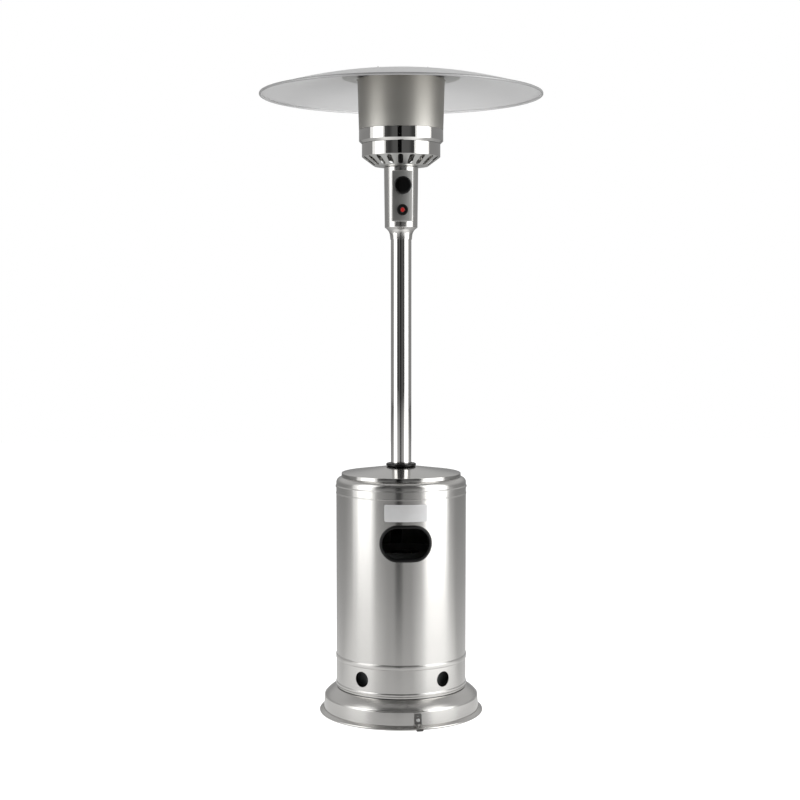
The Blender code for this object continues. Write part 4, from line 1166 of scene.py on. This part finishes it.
def make_igniter():
    low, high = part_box("igniter_bezel")
    radius, back, face = high.x, -high.y, -low.y
    place = Matrix.Translation((0, 0, igniter_z())) @ FRONT
    button_low, button_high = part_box("igniter_button")
    button_r, button_face = button_high.x, -button_low.y
    bore = button_r + 0.0003
    ring = [(bore + 0.0004, face - 0.0004), (radius - 0.0036, face)]
    ring += arc((radius - 0.0022, face - 0.0022), 0.0022, 80, 5, 6)
    ring += [(radius, back), (bore, back), (bore, face - 0.0014)]
    stand_for(turned("igniter_ring", ring, 64, place), "igniter_bezel")
    crown_r = button_r - 0.0020
    cap = [(0, button_face - 0.0008), (0.0040, button_face - 0.0006), (crown_r - 0.0012, button_face)]
    cap += [
        (crown_r - 0.0004, button_face - 0.0004), (crown_r, button_face - 0.0014),
        (crown_r, -button_high.y)
    ]
    cap.append((0, -button_high.y))
    stand_for(turned("red_button", cap, 48, place), "igniter_button")


# Burner and emitter


def make_bowl():
    """The slotted bowl under the burner."""
    inner_r, flat_r = 0.0300, 0.0770
    flat_z = BOWL_LOW_Z + 0.0030
    line = [(BOWL_R, BOWL_TOP_Z), (flat_r, flat_z), (0.0500, BOWL_LOW_Z + 0.0001), (inner_r, BOWL_LOW_Z)]
    line = rounded(line, 0.0040, 5, closed=False)
    bowl = turned("slotted_bowl", sheet_outline(line, THIN_SHEET), FINE)
    slots, slot_turn = 20, math.radians(-5)
    rise = math.atan2(BOWL_TOP_Z - flat_z, BOWL_R - flat_r)
    middle = ((BOWL_R + flat_r) / 2, 0, (BOWL_TOP_Z + flat_z) / 2)
    lie = Matrix.Translation(middle) @ Matrix.Rotation(-rise, 4, "Y")
    tools = []
    for number in range(slots):
        turn = Matrix.Rotation(slot_turn + 2 * math.pi * number / slots, 4, "Z")
        tools.append(prism(f"slot_tool_{number}", stadium(0.0400, 0.0145, 8, 2), -0.010, 0.010, turn @ lie))
    cut(bowl, *tools)
    even_shine(bowl, (flat_z + 0.0035, BOWL_TOP_Z))
    stand_for(bowl, "burner_bowl")


def make_collars():
    line = [
        (LOWER_R - 0.0004, LOWER_TOP_Z), (LOWER_R, LOWER_TOP_Z - 0.0006),
        (LOWER_R, LOWER_LOW_Z + 0.0005), (LOWER_R - 0.0004, LOWER_LOW_Z)
    ]
    stand_for(turned("lower_band", sheet_outline(line, SHEET)), "lower_collar")
    step = [(UPPER_R, UPPER_LOW_Z + 0.0075), (LOWER_R + 0.0004, UPPER_LOW_Z)]
    line = [
        (UPPER_R - 0.0004, UPPER_TOP_Z), (UPPER_R, UPPER_TOP_Z - 0.0006)
    ] + rounded([(UPPER_R, UPPER_TOP_Z - 0.001)] + step, 0.0016, 5, closed=False)[1:]
    stand_for(turned("upper_band", sheet_outline(line, SHEET)), "upper_collar")


def make_emitter():
    low_r = UPPER_R + 0.0001
    line = [(EMITTER_R, EMITTER_TOP_Z), (EMITTER_R - 0.0002, EMITTER_TOP_Z - 0.0010), (low_r, EMITTER_LOW_Z)]
    stand_for(turned("emitter_wall", sheet_outline(line, THIN_SHEET)), "emitter_screen")
    low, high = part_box("emitter_cap")
    ring = arc((0, 0), EMITTER_R, 0, 360, 96)[:-1]
    tab, half = EMITTER_R + 0.0030, 0.0080
    cap_points = []
    for x, y in ring:
        if abs(y) < half:
            x = math.copysign(tab, x)
        elif abs(x) < half:
            y = math.copysign(tab, y)
        cap_points.append((x, y))
    stand_for(prism("emitter_lid", cap_points, low.z, high.z), "emitter_cap")
    shield = rounded(
        [(0, SHIELD_TOP_Z), (SHIELD_R, SHIELD_TOP_Z), (SHIELD_R, SHIELD_LOW_Z), (0, SHIELD_LOW_Z)],
        0.0004
    )
    stand_for(turned("shield_disc", shield), "heat_shield", "satin_steel")


def dish_z(radius):
    """Height of the dish's upper face at a radius."""
    rim_z = DISH_TOP_Z - DISH_RISE
    return rim_z + DISH_RISE * (1 - (radius / DISH_R) ** 2)


def make_reflector():
    """The spun dish with its rolled hem."""
    inner_r = DISH_R - 2 * HEM
    steps = 30
    radii = [inner_r * math.sin(math.pi / 2 * i / steps) for i in range(steps + 1)]
    top = [(r, dish_z(r)) for r in radii]
    hem_z = dish_z(inner_r) - HEM * 0.9
    curl = arc((DISH_R - HEM, hem_z), HEM, 95, -215, 22)
    under = [(r, dish_z(r) - SHEET) for r in radii[::-1][1:]]
    stand_for(turned("dish", top + curl + under, 224), "reflector")


def make_studs():
    for number in range(1, 5):
        node = f"emitter_stud_{number}"
        low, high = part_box(node)
        centre = (low + high) / 2
        stud_r = math.hypot(centre.x, centre.y)
        place = Matrix.Translation((centre.x, centre.y, 0))
        rod = threaded(0.0030, low.z, high.z - 0.0010, 0.0010)
        stand_for(turned(f"threaded_stud_{number}", rod, 20, place), node)
        spacers = [
            (0.0055, low.z + 0.0010, EMITTER_TOP_Z - 0.0003, 6),
            (0.0050, EMITTER_TOP_Z + 0.0022, SHIELD_LOW_Z - 0.0002, 24)
        ]
        spacers.append((0.0050, SHIELD_TOP_Z + 0.0002, dish_z(stud_r + 0.006) - SHEET - 0.0006, 24))
        for index, (radius, bottom, top, sides) in enumerate(spacers):
            outline = disc(radius, sides)
            piece = prism(f"stud_spacer_{number}_{index}", outline, bottom, top, place, 0.0005)
            go_with(piece, node, "fastener_steel")
        make_wing_nut(number, place)


def threaded(radius, low, high, pitch):
    """A screw's outline with rings for its thread."""
    count = int((high - low - 0.001) / pitch)
    outline = [(0, high), (radius - 0.0006, high)]
    for i in range(count):
        top = high - 0.0006 - i * pitch
        outline += [(radius, top - 0.25 * pitch), (radius - 0.0004, top - 0.75 * pitch)]
    return outline + [(radius - 0.0005, low), (0, low)]


def make_wing_nut(number, place):
    """A wing nut: a conical hub and two upswept wings."""
    node = f"wing_nut_{number}"
    low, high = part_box(node)
    centre = place.translation
    turn = Matrix.Rotation(math.atan2(centre.y, centre.x), 4, "Z")
    hub = rounded(
        [(0.0047, low.z + 0.0056), (0.0062, low.z), (0.0033, low.z), (0.0033, low.z + 0.0056)], 0.0005
    )
    nut = turned(f"winged_nut_{number}", hub, 32, place @ turn)
    stand_for(nut, node)
    height = high.z - low.z
    outline = [
        (0.0042, 0.0010), (0.0075, 0.0011), (0.0110, 0.0022), (0.0130, height - 0.0024),
        (0.0125, height - 0.0006)
    ]
    outline += [(0.0108, height), (0.0090, height - 0.0008), (0.0070, 0.0046), (0.0042, 0.0040)]
    for side in (0, 1):
        upright = place @ turn @ Matrix.Rotation(
            math.pi * side, 4, "Z"
        ) @ Matrix.Translation((0, 0, low.z)) @ FRONT
        smooth = flowing(outline + outline[:1], 3)[:-1]
        wing = prism(
            f"nut_wing_{number}_{side}", [tuple(p) for p in smooth], -0.0009, 0.0009, upright, 0.0004
        )
        go_with(wing, node, "fastener_steel")


def make_burner():
    """The cast burner head on its stem, and the plate with eight ports that carries it."""
    low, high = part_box("main_burner")
    cap = [
        (0, high.z), (0.0300, high.z - 0.0018), (0.0500, high.z - 0.0060), (0.0610, high.z - 0.0150),
        (0.0640, high.z - 0.0220)
    ]
    skirt = [
        (0.0640, 1.6303), (0.0330, 1.6303), (0.0330, 1.6280), (0.0160, 1.6200), (0.0125, 1.6140),
        (0.0125, low.z)
    ]
    inner = [
        (0.0105, low.z), (0.0105, 1.6180), (0.0320, 1.6330), (0.0610, 1.6340), (0.0480, 1.6530),
        (0, 1.6590)
    ]
    stand_for(turned("burner_head", cap + skirt + inner, MEDIUM), "main_burner")
    radius, bottom, top = extent("burner_plate")
    plate = turned(
        "burner_deck", [(radius, top), (radius, bottom), (0.0340, bottom), (0.0340, top)], MEDIUM * 2
    )
    ports = []
    for number in range(8):
        angle = math.pi * (2 * number + 1) / 8
        place = Matrix.Translation((0.0880 * math.cos(angle), 0.0880 * math.sin(angle), 0))
        outline = disc(0.0140, 32)
        ports.append(prism(f"port_tool_{number}", outline, bottom - 0.01, top + 0.01, place))
    stand_for(cut(plate, *ports), "burner_plate")


# Inside the housing


def make_bottle():
    """The gas bottle with its foot ring, weld seam and neck, and the guard round its valve."""
    radius, foot_z, top_z = extent("gas_bottle")
    round_r, wall = 0.070, 0.0022
    upper, lower = (radius - round_r, 0.296), (radius - round_r, 0.100)
    neck_r = 0.0200
    outer = [
        (neck_r, top_z), (neck_r, 0.3765), (neck_r + 0.006, 0.3745), (0.060, 0.3700)
    ] + arc(upper, round_r, 78, 0, 12)
    seam = [(radius, 0.204), (radius + 0.0006, 0.2025), (radius + 0.0006, 0.1975), (radius, 0.196)]
    outer += seam + arc(lower, round_r, 0, -52, 8)
    foot = [
        (0.1085, 0.0440), (0.1080, foot_z + 0.002), (0.1065, foot_z), (0.1035, foot_z),
        (0.1030, foot_z + 0.002), (0.1010, 0.0400), (0, 0.0330)
    ]
    inside = [(0, 0.0355)] + arc(
        lower, round_r - wall, -52, 0, 6
    ) + arc(upper, round_r - wall, 0, 78, 8) + [(0.016, 0.3735), (0.016, top_z)]
    stand_for(turned("cylinder_shell", inside + outer + foot, MEDIUM * 2), "gas_bottle")
    make_guard()


def make_guard():
    radius, low, high = extent("bottle_guard")
    wall = 0.0025
    outline = arc((radius - 0.0015, high - 0.002), 0.0022, 120, -90, 8) + [
        (radius, high - 0.0055), (radius, low), (radius - wall, low), (radius - wall, high - 0.003)
    ]
    guard = turned("valve_guard", outline, MEDIUM * 2)
    mouth = Matrix.Translation((-0.095, 0, 0))
    tools = [prism("mouth_tool", soft_rectangle(0.09, 0.124, 0.006), low - 0.02, high + 0.02, mouth)]
    for side in (-1, 1):
        outline = soft_rectangle(0.060, 0.028, 0.010, 8)
        place = Matrix.Translation((0.030, side * 0.085, 0.442)) @ FRONT
        tools.append(prism(f"grip_tool_{side}", outline, -0.03, 0.03, place))
    stand_for(cut(guard, *tools), "bottle_guard")


def make_valve():
    """The bottle's brass valve, its handwheel, the regulator and its nut."""
    low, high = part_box("bottle_valve")
    valve_z = 0.4200
    stem_r = high.y
    line = [(0, high.z), (0.0090, high.z), (0.0090, 0.4400), (0.0130, 0.4360), (0.0150, 0.4310)]
    line += [(0.0150, 0.4090), (0.0130, 0.4050), (0.0120, 0.3960), (stem_r, 0.3900)]
    body = rounded(line + [(stem_r, low.z), (0, low.z)], 0.0010)
    stand_for(turned("valve_body", body, 40), "bottle_valve")
    side = Matrix.Translation((0, 0, valve_z)) @ Matrix.Rotation(-math.pi / 2, 4, "Y")
    outlet = threaded(0.0130, 0.0100, -low.x, 0.0016)
    go_with(turned("valve_outlet", outlet, 40, side), "bottle_valve", "brass")
    hexagon = disc(0.0165, 6)
    go_with(prism("neck_hexagon", hexagon, 0.3870, 0.3955, None, 0.0006), "bottle_valve", "brass")
    make_handwheel()
    make_regulator(side)


def make_handwheel():
    """A lobed handwheel with a raised boss and its spindle."""
    low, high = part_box("bottle_handwheel")
    radius = high.x
    base_z, top_z = high.z - 0.0180, high.z
    lobes, lobe_depth, outline = 8, 0.0034, []
    for a in circle(160):
        dip = max(0.0, -math.cos(lobes * a)) ** 1.5
        outline.append(
            (
                (radius - lobe_depth * dip) * math.cos(a + math.pi / lobes),
                (radius - lobe_depth * dip) * math.sin(a + math.pi / lobes)
            )
        )
    wheel = prism("valve_handwheel", outline, base_z + 0.001, top_z - 0.0015, None, 0.0022, 5)
    stand_for(wheel, "bottle_handwheel")
    boss = rounded(
        [
            (0, top_z - 0.001), (0.0085, top_z - 0.001), (0.0100, top_z - 0.0016),
            (0.0100, base_z - 0.004), (0.0038, base_z - 0.004), (0.0038, low.z), (0, low.z)
        ],
        0.0008
    )
    go_with(turned("handwheel_boss", boss, 40), "bottle_handwheel", "black_plastic")


def make_regulator(side):
    x, valve_z = REGULATOR_X, VALVE_Z
    place = Matrix.Translation((x, 0, valve_z))
    case = [
        (0, 0.0200), (0.0120, 0.0196), (0.0160, 0.0180), (0.0220, 0.0110), (0.0262, 0.0052),
        (0.0300, 0.0048), (0.0300, -0.0044)
    ]
    case += [(0.0262, -0.0048), (0.0230, -0.0120), (0.0150, -0.0156), (0, -0.0160)]
    stand_for(turned("regulator_case", rounded(case, 0.0010), MEDIUM, place), "regulator")
    inlet = place @ SIDEWAYS
    outlet = place @ BACK
    pipe = rounded([(0, 0.0498), (0.0100, 0.0498), (0.0100, 0.0), (0, 0.0)], 0.0006)
    go_with(turned("regulator_inlet", pipe, 32, inlet), "regulator", "brass")
    barbs = [(0, 0.0420), (0.0052, 0.0420)]
    for i in range(3):
        barbs += [(0.0065, 0.0400 - 0.004 * i), (0.0056, 0.0382 - 0.004 * i)]
    go_with(
        turned("regulator_outlet", barbs + [(0.0065, 0.0270), (0.0065, 0.0), (0, 0.0)], 32, outlet),
        "regulator", "brass"
    )
    for i in range(6):
        a = math.pi * i / 3 + math.pi / 6
        spot = Matrix.Translation((x + 0.0272 * math.cos(a), 0.0272 * math.sin(a), valve_z))
        head = rounded([(0, 0.0070), (0.0016, 0.0070), (0.0020, 0.0046), (0, 0.0046)], 0.0005)
        go_with(turned(f"regulator_screw_{i}", head, 16, spot), "regulator", "fastener_steel")
    ridges = [0.0246 + 0.0004 * math.cos(24 * a) for a in circle(192)]
    shell = [(r * math.cos(a), r * math.sin(a)) for r, a in zip(ridges, circle(192))]
    nut = prism("knurled_nut", shell, 0.0312, 0.0638, side, 0.0014)
    bore = prism("nut_bore", disc(0.0133, 48), 0.02, 0.0450, side)
    throat = prism("nut_throat", disc(0.0106, 48), 0.03, 0.07, side)
    stand_for(cut(nut, bore, throat), "regulator_nut")


def make_hose():
    """The gas hose, from the regulator up the inside of the post; no stretch of it leaves the heater."""
    bend = [
        (REGULATOR_X, 0.0425, VALVE_Z),
        (REGULATOR_X, 0.0520, VALVE_Z),
        (REGULATOR_X, 0.0680, 0.4230),
        (-0.0950, 0.0840, 0.4360),
        (-0.0880, 0.0900, 0.4680),
        (-0.0680, 0.0700, 0.5010),
        (-0.0400, 0.0410, 0.5250),
        (-0.0160, 0.0160, 0.5480),
        (-0.0030, 0.0030, 0.5780),
        (0.0, 0.0, 0.6200),
    ]
    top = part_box("gas_hose")[1].z
    route = flowing(bend, 8) + [(0, 0, z) for z in (0.8, 1.0, 1.2, top)]
    stand_for(tube("braided_hose", route, 0.0060), "gas_hose")
    clamp = [(0.0072, 0.0070), (0.0072, 0.0), (0.0061, 0.0), (0.0061, 0.0070)]
    place = Matrix.Translation((REGULATOR_X, 0.0450, VALVE_Z)) @ BACK
    go_with(turned("hose_clamp", rounded(clamp, 0.0003), 32, place), "gas_hose", "fastener_steel")


def make_bracket():
    radius, low, high = extent("post_bracket")
    socket = POST_R + 0.0031
    outline = [
        (socket, high), (socket, low + 0.0080), (socket + 0.0040, low + 0.0042), (radius, low + 0.0040),
        (radius, low)
    ]
    outline += [
        (0.0180, low), (0.0180, low + 0.0042), (POST_R + 0.0003, low + 0.0042), (POST_R + 0.0003, high)
    ]
    stand_for(turned("post_socket", rounded(outline, 0.0008), MEDIUM * 2), "post_bracket")


def make_legs():
    """Three flat bars that rise round the bottle to the post's socket."""
    low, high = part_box("support_leg_1")
    width, thickness = 0.028, 0.003
    bottom, top = low.z + thickness / 2, high.z - thickness / 2
    reach = high.y - thickness / 2
    line = [
        (0.1280, bottom), (reach - 0.0004, bottom), (reach, bottom + 0.0050), (reach, 0.4900),
        (reach - 0.0080, 0.5100)
    ]
    line += [(0.0700, top - 0.0060), (0.0600, top), (0.0340, top)]
    path = rounded(line, 0.0120, 5, closed=False)
    outer = inside_of(path, -thickness / 2)
    section = sheet_outline(outer, thickness)
    for number, turn in enumerate((90, 210, 330), 1):
        shape = soft_strap(section, width, 0.0006)
        leg = link_mesh(f"flat_leg_{number}", shape, Matrix.Rotation(math.radians(turn), 4, "Z"))
        stand_for(leg, f"support_leg_{number}")


def finish_the_rest():
    """The CAD nodes that stay get the materials of their slots."""
    for name, node in frame["nodes"].items():
        if node.hide_render:
            continue
        node.data.materials.clear()
        node.data.materials.append(FINISHES[SLOT_OF[name]])


make_camera()
make_lights()
make_room()
make_floor()
make_black_card()
FINISHES = make_finishes()
make_base()
make_base_inside()
make_clip()
make_housing()
make_hand_hole_trim()
make_label()
make_top()
make_post()
make_sleeve()
make_panel()
make_knob()
make_igniter()
make_bowl()
make_collars()
make_emitter()
make_reflector()
make_studs()
make_burner()
make_bottle()
make_valve()
make_hose()
make_bracket()
make_legs()
finish_the_rest()
bpy.context.scene.view_settings.view_transform = "Standard"
